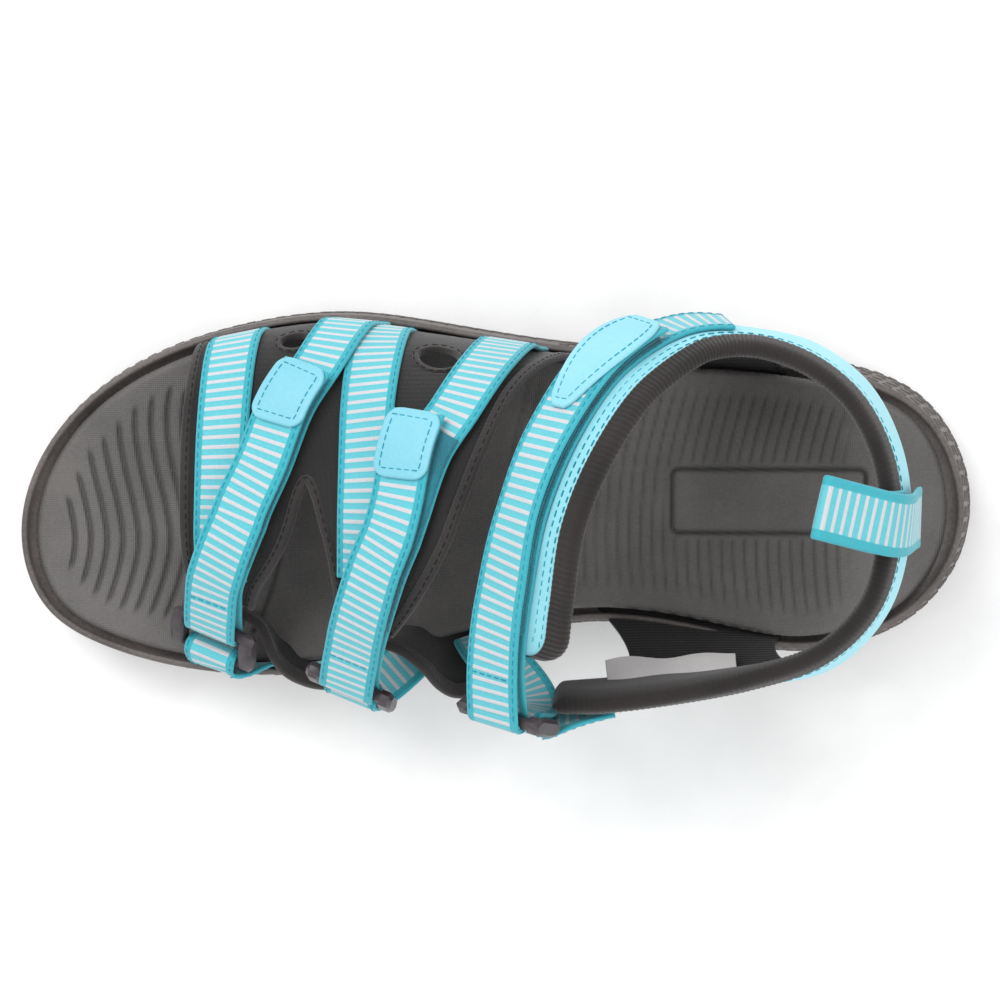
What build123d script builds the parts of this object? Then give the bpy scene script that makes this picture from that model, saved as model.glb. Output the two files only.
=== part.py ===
from build123d import *
from math import cos, radians, sin
import os

os.makedirs("parts", exist_ok=True)

# Strappy sport sandal for the right foot, in millimetres.
# +X runs from toe to heel, +Y points to the outer side of the foot, +Z is up.
# The origin lies on the ground under the middle of the sole.
# A "share" is a fraction of a size: u runs along the sole from 0 at the toe to 1 at the heel,
# and v runs across it from -1 at the inner side to +1 at the outer side.

# Sole
sole_length = 277.0
sole_width = 106.5
outsole_thickness = 4.0
tread_depth = 1.8
tread_groove = 3.0
tread_pitch = 13.0
tread_border = 9.0
rim_width = 2.3
welt_groove = 2.0
board_thickness = 1.5
footbed_thickness = 7.5

# Webbing, closures and rings
webbing_width = 16.0
webbing_thickness = 1.2
tape_thickness = 0.8
tape_width = 15.0
tab_thickness = 1.0
tab_width = 16.6
tab_length = 17.0
ankle_tab_length = 34.0
ring_bar_radius = 1.7
ring_reach = 11.1
ring_side_width = 4.2
ring_side_thickness = 4.2
ring_facet = 1.1
slot_clearance = 0.8
bar_clearance = 0.3

# Uppers
lining_thickness = 1.0
binding_thickness = 0.8
binding_width = 3.2
gusset_thickness = 1.0
quarter_thickness = 1.4
collar_cover_thickness = 0.8
collar_foam_thickness = 3.0
collar_lining_thickness = 0.8
collar_height = 26.0
label_thickness = 0.3
label_width = 11.0
label_drop = 4.0
pull_width = 16.8
pull_length = 25.0
pull_gap = 6.5
pull_seam = 4.0
pull_lift = 1.0
lining_tuck = 4.0
panel_tuck = 1.0
gusset_lift = 3.0
leg_lift = 4.6
leg_standoff = 1.3
leg_straight = 3.0
tape_short = 26.0
tape_setback = 3.0
toe_route_setback = 8.0

# Clearances
sewn_gap = 0.1
crossing_gap = 0.4
moving_gap = 0.3

# Levels of the stack above the foot or the collar, from its inner face outwards
overlay_low = lining_thickness + 2 * sewn_gap
overlay_high = overlay_low + webbing_thickness
fixed_low = overlay_high + crossing_gap
fixed_high = fixed_low + webbing_thickness
loop_low = fixed_high + sewn_gap
loop_high = loop_low + tape_thickness
hook_low = loop_high + moving_gap
hook_high = hook_low + tape_thickness
free_low = hook_high + sewn_gap
free_high = free_low + webbing_thickness
tab_low = free_high + sewn_gap
tab_high = tab_low + tab_thickness

# Webbing that turns around a ring's bar
wrap_inner = ring_bar_radius + bar_clearance
wrap_outer = wrap_inner + webbing_thickness
wrap_middle = (wrap_inner + wrap_outer) / 2
wrap_turn = 110.0
dip_length = 9.0
bar_level = lining_thickness + 3 * crossing_gap + webbing_thickness / 2 + wrap_middle
slot_width = webbing_width + 2 * slot_clearance
ring_width = slot_width + 2 * ring_side_width
ring_height = ring_reach + 2 * ring_bar_radius

# Outline of the sole, u against v, on its two sides
outer_side = [(0.03, 0.31), (0.085, 0.62), (0.17, 0.86), (0.25, 0.975), (0.34, 1.025), (0.45, 0.96),
              (0.6, 0.85), (0.75, 0.82), (0.88, 0.735), (0.945, 0.585), (0.985, 0.32)]
inner_side = [(0.03, -0.63), (0.083, -0.81), (0.17, -0.94), (0.27, -0.98), (0.45, -0.84), (0.61, -0.665),
              (0.72, -0.74), (0.82, -0.83), (0.905, -0.74), (0.945, -0.62), (0.985, -0.36)]
toe_tip_v = -0.2
heel_tip_v = -0.03

# Heights along the sole, u against millimetres
toe_spring = [(0.0, 9.0), (0.1, 4.5), (0.2, 1.4), (0.3, 0.0)]
heel_bevel = [(0.93, 0.0), (0.97, 0.7), (1.0, 2.5)]
rim_top = [(0.0, 25.5), (0.1, 23.5), (0.2, 22.5), (0.35, 22.5), (0.5, 25.0), (0.65, 30.0), (0.8, 33.5),
           (0.9, 34.5), (1.0, 35.5)]
foot_level = [(0.0, 24.0), (0.1, 21.5), (0.2, 20.0), (0.3, 20.0), (0.4, 20.5), (0.5, 22.5), (0.6, 26.0),
              (0.7, 29.0), (0.8, 30.5), (0.9, 31.0), (1.0, 32.0)]
edge_rise = [(0.0, 2.0), (0.2, 3.0), (0.4, 4.0), (0.6, 6.0), (0.8, 5.5), (1.0, 4.5)]
wall_flare = [(0.0, 0.5), (0.5, 0.8), (0.8, 2.5), (1.0, 5.0)]

# The foot under the straps: its outer edge, crown and inner edge at five shares of the length
outer_edge_z = [(0.14, 25.0), (0.25, 23.8), (0.355, 24.3), (0.46, 27.0), (0.57, 31.0)]
crown_v = [(0.14, -0.04), (0.25, -0.055), (0.355, -0.095), (0.46, -0.13), (0.57, -0.15)]
crown_z = [(0.14, 46.0), (0.25, 54.0), (0.355, 64.0), (0.46, 77.0), (0.57, 92.0)]
inner_edge_v = [(0.14, -0.42), (0.25, -0.64), (0.355, -0.86), (0.46, -0.91), (0.57, -0.94)]
inner_edge_z = [(0.14, 33.0), (0.25, 38.0), (0.355, 44.0), (0.46, 53.0), (0.57, 62.0)]

# Routes over the foot: how far around it, 0 at its outer edge and 1 at its inner edge, against u
toe_route = [(0.03, 0.240), (0.2, 0.239), (0.35, 0.239), (0.5, 0.238), (0.72, 0.236)]
ball_route = [(0.03, 0.362), (0.14, 0.349), (0.22, 0.335), (0.3, 0.312), (0.4, 0.291), (0.5, 0.265),
              (0.7, 0.237), (0.85, 0.230), (1.0, 0.2265)]
mid_route = [(0.03, 0.393), (0.15, 0.391), (0.26, 0.390), (0.36, 0.390), (0.45, 0.390), (0.62, 0.388)]
instep_route = [(0.03, 0.526), (0.09, 0.518), (0.17, 0.505), (0.28, 0.481), (0.36, 0.456), (0.46, 0.436),
                (0.58, 0.411), (0.74, 0.388), (0.87, 0.376), (1.0, 0.369)]
instep_free_route = [(0.3, 0.451), (0.36, 0.442), (0.46, 0.432), (0.58, 0.409), (0.74, 0.387),
                     (0.87, 0.376), (1.0, 0.369)]
toe_hem_route = [(0.04, 0.199), (0.2, 0.198), (0.35, 0.1965), (0.5, 0.1965), (0.7, 0.197), (0.86, 0.199)]
rear_hem_route = [(0.05, 0.568), (0.2, 0.53), (0.33, 0.505), (0.44, 0.483), (0.55, 0.46), (0.68, 0.431),
                  (0.78, 0.408)]

# The stretch lining reaches over these shares of the length. Its notch and its two openings are
# given as u against how far around; an opening's last two values are its length and width.
lining_span = (0.19, 0.6)
lining_notch = [(0.262, 0.86), (0.272, 0.74), (0.3, 0.58), (0.327, 0.43), (0.345, 0.5), (0.356, 0.62),
                (0.362, 0.86)]
lining_openings = [(0.305, 0.13, 9.0, 6.5), (0.455, 0.15, 12.0, 8.0)]
toe_binding_span = (0.06, 0.84)
rear_binding_span = (0.08, 0.76)

# The inner side's two gussets: where they meet the welt, and their upper edge as u, v and height
gusset_front_foot = (0.265, 0.31)
gusset_front_head = [(0.257, -0.74, 33.0), (0.285, -0.80, 30.5)]
gusset_rear_foot = (0.36, 0.455)
gusset_rear_head = [(0.408, -0.86, 42.0), (0.43, -0.90, 39.0), (0.455, -0.87, 34.0)]

# The collar's middle line: u, v, height, and the direction that its free edge points in.
# It starts at the inner side of the ankle, goes round the heel and over the instep, and its last
# rows lead on to the ankle ring.
collar_route = [
    (0.572, -0.98, 61.0, (0.0, -0.10, 1.0)),
    (0.666, -0.93, 61.5, (0.0, -0.05, 1.0)),
    (0.760, -0.86, 62.0, (0.0, 0.10, 1.0)),
    (0.833, -0.75, 64.0, (-0.15, 0.25, 1.0)),
    (0.882, -0.48, 66.0, (-0.25, 0.15, 1.0)),
    (0.900, -0.12, 67.0, (-0.30, 0.0, 1.0)),
    (0.895, 0.24, 67.0, (-0.28, -0.08, 1.0)),
    (0.866, 0.56, 66.0, (-0.22, -0.18, 1.0)),
    (0.818, 0.765, 64.0, (-0.10, -0.22, 1.0)),
    (0.760, 0.85, 62.5, (0.0, -0.18, 1.0)),
    (0.700, 0.84, 67.0, (0.15, -0.35, 1.0)),
    (0.640, 0.66, 78.0, (0.45, -0.45, 0.8)),
    (0.598, 0.34, 88.0, (0.65, -0.25, 0.7)),
    (0.570, -0.04, 92.0, (0.70, 0.0, 0.7)),
    (0.554, -0.42, 87.0, (0.76, 0.03, 0.62)),
    (0.545, -0.74, 81.0, (0.82, 0.0, 0.55)),
    (0.546, -1.0, 75.0, (0.85, -0.05, 0.5)),
]
collar_end = 14.85
ankle_start = 9.3
quarter_medial_span = (0.7, 2.7)
quarter_medial_foot = (0.622, 0.788)
quarter_lateral_span = (10.4, 8.4)
quarter_lateral_foot = (0.672, 0.795)
label_span = (0.55, 1.9)
heel_station = 5.35
pull_direction = Vector(-0.86, 0.0, 0.5)

# Which way each ring hangs from its strap, and where its two webbing legs meet the sole or collar
ring_hang = {"ball": (0.10, -0.80, -0.60), "instep": (0.12, -0.33, -0.93), "ankle": (0.49, -0.20, -0.85)}
leg_feet = {"ball": (0.205, 0.262), "instep": (0.335, 0.435), "ankle": (0.487, None)}


def along(table, share):
    """Smooth curve through a table of (share, value) rows."""
    last = len(table) - 1
    row = max(0, min(last - 1, sum(1 for entry in table if entry[0] <= share) - 1))
    slopes = []
    for index in (row, row + 1):
        before = table[max(0, index - 1)]
        after = table[min(last, index + 1)]
        slopes.append((after[1] - before[1]) / (after[0] - before[0]))
    span = table[row + 1][0] - table[row][0]
    t = (share - table[row][0]) / span
    start = (2 * t**3 - 3 * t**2 + 1) * table[row][1] + (t**3 - 2 * t**2 + t) * span * slopes[0]
    return start + (3 * t**2 - 2 * t**3) * table[row + 1][1] + (t**3 - t**2) * span * slopes[1]


def length_at(u):
    return (u - 0.5) * sole_length


def across_at(v):
    return v * sole_width / 2


def rim_inset(u):
    return along(wall_flare, u) + rim_width


def footbed_inset(u):
    return rim_inset(u) + welt_groove


def edge_y(u, side, inset):
    """How far across the outline lies on one side (+1 outer, -1 inner), moved inwards by inset."""
    table = outer_side if side > 0 else inner_side
    step = 0.01
    rise = across_at(along(table, u + step) - along(table, u - step))
    slope = rise / (length_at(u + step) - length_at(u - step))
    return across_at(along(table, u)) - side * inset * (1 + slope**2) ** 0.5


def welt_point(u, side):
    """Point at the rim's top, in the middle of the groove between footbed and rim."""
    return Vector(length_at(u), edge_y(u, side, rim_inset(u) + welt_groove / 2), along(rim_top, u))


def outline_points(inset):
    """The sole's outline, moved inwards along its own normal by inset(u)."""
    shares = [(0.0, toe_tip_v)] + outer_side + [(1.0, heel_tip_v)] + inner_side[::-1]
    points = [Vector(length_at(u), across_at(v)) for u, v in shares]
    moved = []
    for index, point in enumerate(points):
        chord = points[(index + 1) % len(points)] - points[index - 1]
        inwards = Vector(chord.Y, -chord.X).normalized()
        moved.append(point + inwards * inset(shares[index][0]))
    return moved


def outline_face(inset, height=0.0):
    """The face inside the outline, at a height."""
    with BuildSketch(Plane.XY.offset(height)) as face:
        with BuildLine():
            Spline(*outline_points(inset), periodic=True)
        make_face()
    return face.sketch


def level_line(table, lift):
    """A level from toe to heel, raised by lift, for use in a line on Plane.XZ."""
    if table is not sole_underside:
        Spline(*[(length_at(u), z + lift) for u, z in table])
        return
    toe = [(length_at(u), z + lift) for u, z in toe_spring]
    heel = [(length_at(u), z + lift) for u, z in heel_bevel]
    Spline(*toe, tangents=[(1, -0.2), (1, 0)])
    Line(toe[-1], heel[0])
    Spline(*heel, tangents=[(1, 0), (1, 0.6)])


def level_ends(table, lift):
    """First and last point of a level line."""
    first = (length_at(table[0][0]), table[0][1] + lift)
    last = (length_at(table[-1][0]), table[-1][1] + lift)
    return first, last


def side_block(lower, upper):
    """Block wider than the sole between two (table, lift) levels."""
    low_first, low_last = level_ends(*lower)
    high_first, high_last = level_ends(*upper)
    with BuildPart() as block:
        with BuildSketch(Plane.XZ):
            with BuildLine():
                level_line(*lower)
                Line(low_last, high_last)
                level_line(*upper)
                Line(high_first, low_first)
            make_face()
        extrude(amount=sole_width, both=True)
    return block.part


sole_underside = toe_spring[:1] + heel_bevel[-1:]
block_height = 60.0
floor_drop = footbed_thickness + board_thickness


def side_wall_foot(u):
    """The sole is widest at its foot."""
    return 0.3


def side_wall_head(u):
    """The wall leans in so that it meets the rim's top wall_flare further in."""
    return 0.3 + along(wall_flare, u) * block_height / along(rim_top, u)


def dish():
    """Space above the footbed: level along its middle, and rising towards both edges."""
    half = sole_width
    with BuildPart() as hollow:
        for u in (-0.05, 0.1, 0.2, 0.3, 0.4, 0.5, 0.6, 0.7, 0.8, 0.9, 1.05):
            inside = min(0.97, max(0.03, u))
            near = min(0.88, max(0.12, u))
            y_high = edge_y(near, 1, footbed_inset(near))
            y_low = edge_y(near, -1, footbed_inset(near))
            middle = (y_high + y_low) / 2
            level = along(foot_level, inside)
            rise = level + along(edge_rise, inside) * (2 * half / (y_high - y_low)) ** 2
            with BuildSketch(Plane.YZ.offset(length_at(u))):
                with BuildLine():
                    ThreePointArc((middle - half, rise), (middle, level), (middle + half, rise))
                    Polyline((middle + half, rise), (middle + half, level + 2 * block_height),
                             (middle - half, level + 2 * block_height), (middle - half, rise))
                make_face()
        loft()
    return hollow.part


def foot_point(u, around):
    """Point on the foot: around is 0 at the outer edge of the footbed and 1 at the inner edge."""
    y_outer = edge_y(u, 1, footbed_inset(u)) + (welt_groove - lining_thickness) / 2
    z_outer = along(outer_edge_z, u)
    y_crown = across_at(along(crown_v, u))
    z_crown = along(crown_z, u)
    y_inner = across_at(along(inner_edge_v, u))
    z_inner = along(inner_edge_z, u)
    if around <= 0.5:
        t = around * 2
        ys = (y_outer, y_outer, (y_crown + y_outer) / 2, y_crown)
        zs = (z_outer, z_outer + 0.62 * (z_crown - z_outer), z_crown, z_crown)
    else:
        t = around * 2 - 1
        ys = (y_crown, (y_crown + y_inner) / 2, y_inner - 0.22 * (y_inner - y_crown), y_inner)
        zs = (z_crown, z_crown, z_inner + 0.42 * (z_crown - z_inner), z_inner)
    weights = ((1 - t) ** 3, 3 * t * (1 - t) ** 2, 3 * t**2 * (1 - t), t**3)
    y = sum(weight * value for weight, value in zip(weights, ys))
    z = sum(weight * value for weight, value in zip(weights, zs))
    return Vector(length_at(u), y, z)


def foot_normal(u, around):
    step = 0.001
    low = max(0.0, around - step)
    high = min(1.0, around + step)
    girth = foot_point(u, high) - foot_point(u, low)
    length = foot_point(u + step, around) - foot_point(u - step, around)
    return girth.cross(length).normalized()


def foot_rail(route):
    """Frame along a route over the foot: point, direction of travel, width direction, outward."""
    def frame(around):
        step = 0.004
        ahead = foot_point(along(route, around + step), min(1.0, around + step))
        behind = foot_point(along(route, around - step), min(1.0, around + step) - 2 * step)
        out = foot_normal(along(route, around), around)
        travel = ahead - behind
        travel = (travel - out * travel.dot(out)).normalized()
        return foot_point(along(route, around), around), travel, out.cross(travel), out
    return frame


def collar_frame(station):
    """Frame on the collar's middle line: point, direction of travel, free-edge direction, outward."""
    def place(at):
        u, v, z = [along([(k, row[i]) for k, row in enumerate(collar_route)], at) for i in (0, 1, 2)]
        return Vector(length_at(u), across_at(v), z)
    step = 0.02
    last = len(collar_route) - 1.0
    travel = (place(min(last, station + step)) - place(max(0.0, station - step))).normalized()
    up = Vector(*[along([(k, row[3][i]) for k, row in enumerate(collar_route)], station) for i in range(3)])
    up = (up - travel * up.dot(travel)).normalized()
    return place(station), travel, up, travel.cross(up)


def ankle_rail(station):
    """The ankle strap follows the collar along its lower edge."""
    point, travel, up, out = collar_frame(station)
    return point - up * (collar_height - webbing_width) / 2, travel, up, out


def walk(rail, start, distance):
    """The place on a rail that lies distance beyond start, or before it if distance is negative."""
    step = 0.002 if rail is not ankle_rail else 0.02
    step = step if distance > 0 else -step
    place = start
    left = abs(distance)
    while left > 0:
        left -= (rail(place + step)[0] - rail(place)[0]).length
        place += step
    return place


def section(rail, place, level, shift=0.0):
    """Plane across a rail: x along the width, y outwards."""
    point, travel, width, out = rail(place)
    return Plane(origin=point + out * level + width * shift, x_dir=width, z_dir=travel)


def places(rail, start, end):
    """Places from start to end, which every layer on the same rail shares."""
    pitch = 0.2 if rail in (collar_frame, ankle_rail) else 0.025
    low, high = min(start, end), max(start, end)
    inner = [index * pitch for index in range(int(high / pitch) + 2)]
    inner = [place for place in inner if low + pitch * 0.2 < place < high - pitch * 0.2]
    return [low] + inner + [high]


def band(rail, start, end, width, low, high, shift=0.0):
    """Flat strip along a rail between two levels. Its width and levels may be functions of the place."""
    with BuildPart() as strip:
        for place in places(rail, start, end):
            size, bottom, top = [value(place) if callable(value) else value for value in (width, low, high)]
            with BuildSketch(section(rail, place, (bottom + top) / 2, shift)):
                Rectangle(size, top - bottom)
        loft(ruled=True)
    return strip.part


def finish(piece, name):
    piece.part.label = name
    export_step(piece.part, f"parts/{name}.step")


# ---- Sole ----

with BuildPart() as outsole:
    add(outline_face(side_wall_foot))
    extrude(amount=block_height)
    add(side_block((sole_underside, 0.0), (sole_underside, outsole_thickness)), mode=Mode.INTERSECT)
    groove_count = int(sole_length * 0.84 / tread_pitch / 2)
    for index in range(-groove_count, groove_count):
        x = (index + 0.5) * tread_pitch
        u = x / sole_length + 0.5
        y_high = edge_y(u, 1, tread_border)
        y_low = edge_y(u, -1, tread_border)
        z = along(toe_spring, u) if u < toe_spring[-1][0] else 0.0
        with Locations((x, (y_high + y_low) / 2, z)):
            Box(tread_groove, y_high - y_low, 2 * tread_depth, mode=Mode.SUBTRACT)
finish(outsole, "outsole")

with BuildPart() as midsole:
    add(outline_face(side_wall_foot))
    add(outline_face(side_wall_head, block_height))
    loft(ruled=True)
    add(side_block((sole_underside, outsole_thickness), (rim_top, 0.0)), mode=Mode.INTERSECT)
    with BuildPart(mode=Mode.PRIVATE) as cavity:
        add(outline_face(rim_inset))
        extrude(amount=2 * block_height)
        add(side_block((foot_level, -floor_drop), (rim_top, block_height)), mode=Mode.INTERSECT)
    add(cavity.part, mode=Mode.SUBTRACT)
finish(midsole, "midsole")

with BuildPart() as lasting_board:
    add(outline_face(footbed_inset))
    extrude(amount=block_height)
    add(side_block((foot_level, -floor_drop), (foot_level, -footbed_thickness)), mode=Mode.INTERSECT)
finish(lasting_board, "lasting_board")

with BuildPart() as footbed:
    add(outline_face(footbed_inset))
    extrude(amount=block_height)
    add(side_block((foot_level, -footbed_thickness), (foot_level, block_height / 2)), mode=Mode.INTERSECT)
    add(dish(), mode=Mode.SUBTRACT)
finish(footbed, "footbed")

# ---- Stretch lining over the foot ----


def lining_sheet():
    """Sheet over the foot, deep enough at its outer edge to stand in the welt groove."""
    count = 21
    with BuildPart() as sheet:
        for index in range(count):
            u = lining_span[0] + (lining_span[1] - lining_span[0]) * index / (count - 1)
            low = []
            high = []
            for step in range(13):
                around = step / 12
                point = foot_point(u, around)
                out = foot_normal(u, around)
                outer = point + out * lining_thickness
                low.append((point.Y, point.Z))
                high.append((outer.Y, outer.Z))
            high[0] = (low[0][0] + lining_thickness, low[0][1])
            foot_low = (low[0][0], low[0][1] - lining_tuck)
            foot_high = (high[0][0], high[0][1] - lining_tuck)
            with BuildSketch(Plane.YZ.offset(length_at(u))):
                with BuildLine():
                    Spline(*low)
                    Line(low[-1], high[-1])
                    Spline(*high[::-1])
                    Polyline(high[0], foot_high, foot_low, low[0])
                make_face()
        loft(ruled=True)
    return sheet.part


def plan_point(u, around):
    point = foot_point(u, around)
    return (point.X, point.Y)


def lining_pattern():
    """The lining's outline seen from above, with its notch between two fingers on the inner side."""
    beyond = sole_width * 0.6
    toe_edge = [plan_point(u, around) for around, u in toe_hem_route]
    rear_edge = [plan_point(u, around) for around, u in rear_hem_route]
    notch = [plan_point(u, around) for u, around in lining_notch]
    with BuildSketch(Plane.XY) as pattern:
        with BuildLine():
            Spline((toe_edge[0][0], beyond), *toe_edge)
            Line(toe_edge[-1], notch[0])
            Spline(*notch)
            Line(notch[-1], rear_edge[-1])
            Spline(*rear_edge[::-1], (rear_edge[0][0] + 2, beyond))
            Line((rear_edge[0][0] + 2, beyond), (toe_edge[0][0], beyond))
        make_face()
        for u, around, long, wide in lining_openings:
            with Locations(plan_point(u, around)):
                Ellipse(long / 2, wide / 2, mode=Mode.SUBTRACT)
    return pattern.sketch


with BuildPart() as vamp_lining:
    add(lining_pattern())
    extrude(amount=3 * block_height)
    add(lining_sheet(), mode=Mode.INTERSECT)
finish(vamp_lining, "vamp_lining")

for hem_name, route, span in (("toe", toe_hem_route, toe_binding_span), ("rear", rear_hem_route, rear_binding_span)):
    inwards = binding_width / 2 if hem_name == "toe" else -binding_width / 2
    with BuildPart() as hem:
        add(band(foot_rail(route), *span, binding_width, overlay_low, overlay_low + binding_thickness,
                 shift=inwards))
    finish(hem, f"vamp_{hem_name}_binding")

# ---- Fixed overlay straps ----

with BuildPart() as strap_toe:
    add(band(foot_rail(toe_route), toe_route[0][0], toe_route[-1][0], webbing_width, overlay_low, overlay_high,
             shift=webbing_width / 2 - toe_route_setback))
finish(strap_toe, "strap_toe")

with BuildPart() as strap_mid:
    add(band(foot_rail(mid_route), mid_route[0][0], mid_route[-1][0], webbing_width, overlay_low, overlay_high))
finish(strap_mid, "strap_mid")

# ---- Closures: a fixed strap, a ring, and a free end that folds back over it ----


def ring_frame(name, rail, end):
    """Frame of a ring: middle of its strap bar, bar direction, hanging direction, outward."""
    point, travel, width, out = rail(end)
    bar = point + out * bar_level
    hang = Vector(*ring_hang[name])
    hang = (hang - width * hang.dot(width)).normalized()
    return bar, width, hang, hang.cross(width)


def eased(place, start, end, low, high):
    """Smooth change from low at start to high at end."""
    share = min(1.0, max(0.0, (place - start) / (end - start)))
    return low + (high - low) * share**2 * (3 - 2 * share)


def fixed_strap(rail, start, end):
    """Strap below the closure, dipping under the ring's bar and ending short of the turned webbing."""
    stop = walk(rail, end, -(wrap_outer + moving_gap + 1.0))
    dip = walk(rail, stop, -dip_length)
    floor = bar_level - wrap_outer

    def low(place):
        return eased(place, dip, stop, fixed_low, floor)

    return band(rail, start, stop, webbing_width, low, lambda place: low(place) + webbing_thickness)


def free_strap(rail, start, end):
    """Strap above the closure, with its turn around the ring's bar."""
    rise = walk(rail, end, -2 * dip_length)

    def low(place):
        return eased(place, rise, end, free_low, bar_level + wrap_inner)

    point, travel, width, out = rail(end)
    turn_plane = Plane(origin=point + out * bar_level, x_dir=out, z_dir=width)
    with BuildPart() as strap:
        add(band(rail, start, end, webbing_width, low, lambda place: low(place) + webbing_thickness))
        add(turned_webbing(turn_plane, 0.0, wrap_turn, webbing_width))
    return strap.part


def turned_webbing(plane, start_angle, turn, width):
    """Webbing turned around a ring's bar, on a plane across the bar."""
    begin = radians(start_angle)
    finish_at = radians(start_angle + turn)
    with BuildPart() as turned:
        with BuildSketch(plane):
            with BuildLine():
                CenterArc((0, 0), wrap_outer, start_angle, turn)
                Line((wrap_outer * cos(finish_at), wrap_outer * sin(finish_at)),
                     (wrap_inner * cos(finish_at), wrap_inner * sin(finish_at)))
                CenterArc((0, 0), wrap_inner, start_angle + turn, -turn)
                Line((wrap_inner * cos(begin), wrap_inner * sin(begin)),
                     (wrap_outer * cos(begin), wrap_outer * sin(begin)))
            make_face()
        extrude(amount=width / 2, both=True)
    return turned.part


def ring(bar, width, hang, out):
    """Moulded rectangular ring: two round bars between two thick faceted sides."""
    middle = bar + hang * ring_reach / 2
    with BuildPart() as body:
        for side in (-1, 1):
            offset = side * (slot_width + ring_side_width) / 2
            with BuildSketch(Plane(origin=middle + width * offset, x_dir=hang, z_dir=width)):
                Rectangle(ring_height, ring_side_thickness)
                chamfer(vertices(), length=ring_facet)
            extrude(amount=ring_side_width / 2, both=True)
        for reach in (0.0, ring_reach):
            with BuildSketch(Plane(origin=bar + hang * reach, x_dir=hang, z_dir=width)):
                Circle(ring_bar_radius)
            extrude(amount=slot_width / 2 + ring_side_width / 2, both=True)
    return body.part


def leg(bar, width, hang, out, side, foot):
    """One webbing leg from the turn around the anchor bar to foot = (point, width direction, outward)."""
    start = bar + out * side * wrap_middle
    start_plane = Plane(origin=start, x_dir=width, z_dir=hang)
    foot_point_at, foot_width, foot_out = foot
    travel = (foot_point_at - start).normalized()
    foot_width = (foot_width - travel * foot_width.dot(travel)).normalized()
    middle = (start + hang * 2.5 + foot_point_at) / 2 + foot_out * side * 0.8
    middle_width = (width + foot_width).normalized()
    middle_travel = travel - middle_width * travel.dot(middle_width)
    with BuildPart() as strip:
        for straight in (0.0, leg_straight):
            with BuildSketch(start_plane.offset(straight)):
                Rectangle(webbing_width, webbing_thickness)
        with BuildSketch(Plane(origin=middle, x_dir=middle_width, z_dir=middle_travel)):
            Rectangle(webbing_width, webbing_thickness)
        with BuildSketch(Plane(origin=foot_point_at, x_dir=foot_width, z_dir=travel)):
            Rectangle(webbing_width, webbing_thickness)
        loft(ruled=True)
    return strip.part


def sole_foot(u):
    """Where a leg meets the sole's inner side: just above the welt."""
    point = welt_point(u, -1) + Vector(0, -(welt_groove + rim_width) / 2 - leg_standoff, leg_lift)
    ahead = (welt_point(u + 0.02, -1) - welt_point(u - 0.02, -1)).normalized()
    return point, ahead, Vector(0, -1, 0)


# Each closure: its fixed and free rails, where the fixed strap, the tab and the loop tape start,
# where the straps end, and the tab's length
closures = {
    "ball": (foot_rail(ball_route), foot_rail(ball_route), 0.03, 0.235, 0.255, 1.0, tab_length),
    "instep": (foot_rail(instep_route), foot_rail(instep_free_route), 0.03, 0.305, 0.325, 1.0, tab_length),
    "ankle": (ankle_rail, ankle_rail, ankle_start, 10.35, 10.45, 16.0, ankle_tab_length),
}
for name, (rail, free_rail, start, tab_start, loop_start, end, length) in closures.items():
    bar, width, hang, out = ring_frame(name, free_rail, end)
    print(name, "strap bar", bar, "anchor bar", bar + hang * ring_reach, "axis", width)
    with BuildPart() as fixed:
        add(fixed_strap(rail, start, end))
    finish(fixed, f"strap_{name}_fixed")
    tape_end = walk(free_rail, end, -tape_short)
    with BuildPart() as loop_tape:
        add(band(rail, loop_start, tape_end, tape_width, loop_low, loop_high))
    finish(loop_tape, f"loop_tape_{name}")
    with BuildPart() as hook_tape:
        add(band(free_rail, walk(free_rail, tab_start, tape_setback), tape_end, tape_width, hook_low, hook_high))
    finish(hook_tape, f"hook_tape_{name}")
    with BuildPart() as free:
        add(free_strap(free_rail, tab_start, end))
    finish(free, f"strap_{name}_free")
    with BuildPart() as tab:
        add(band(free_rail, tab_start, walk(free_rail, tab_start, length), tab_width, tab_low, tab_high))
    finish(tab, f"tab_{name}")
    with BuildPart() as buckle:
        add(ring(bar, width, hang, out))
    finish(buckle, f"ring_{name}")
    anchor_bar = bar + hang * ring_reach
    front_u, rear_u = leg_feet[name]
    front = sole_foot(front_u)
    if rear_u is None:
        point, travel, up, outward = collar_frame(0.55)
        rear = (point + outward * (overlay_high + 1.8), up, outward)
    else:
        rear = sole_foot(rear_u)
    with BuildPart() as anchor:
        add(turned_webbing(Plane(origin=anchor_bar, x_dir=out, z_dir=width), 180.0, 180.0, webbing_width))
        add(leg(anchor_bar, width, hang, out, 1, rear))
        add(leg(anchor_bar, width, hang, out, -1, front))
    finish(anchor, f"anchor_{name}")

# ---- Padded collar ----

layer_half = collar_foam_thickness / 2
collar_layers = {
    "collar_lining": (-layer_half - sewn_gap - collar_lining_thickness, -layer_half - sewn_gap),
    "collar_foam": (-layer_half, layer_half),
    "collar_cover": (layer_half + sewn_gap, layer_half + sewn_gap + collar_cover_thickness),
}
for name, (low, high) in collar_layers.items():
    with BuildPart() as layer:
        add(band(collar_frame, 0.0, collar_end, collar_height, low, high))
    finish(layer, name)

# ---- Panels between collar, rings and sole ----


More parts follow.
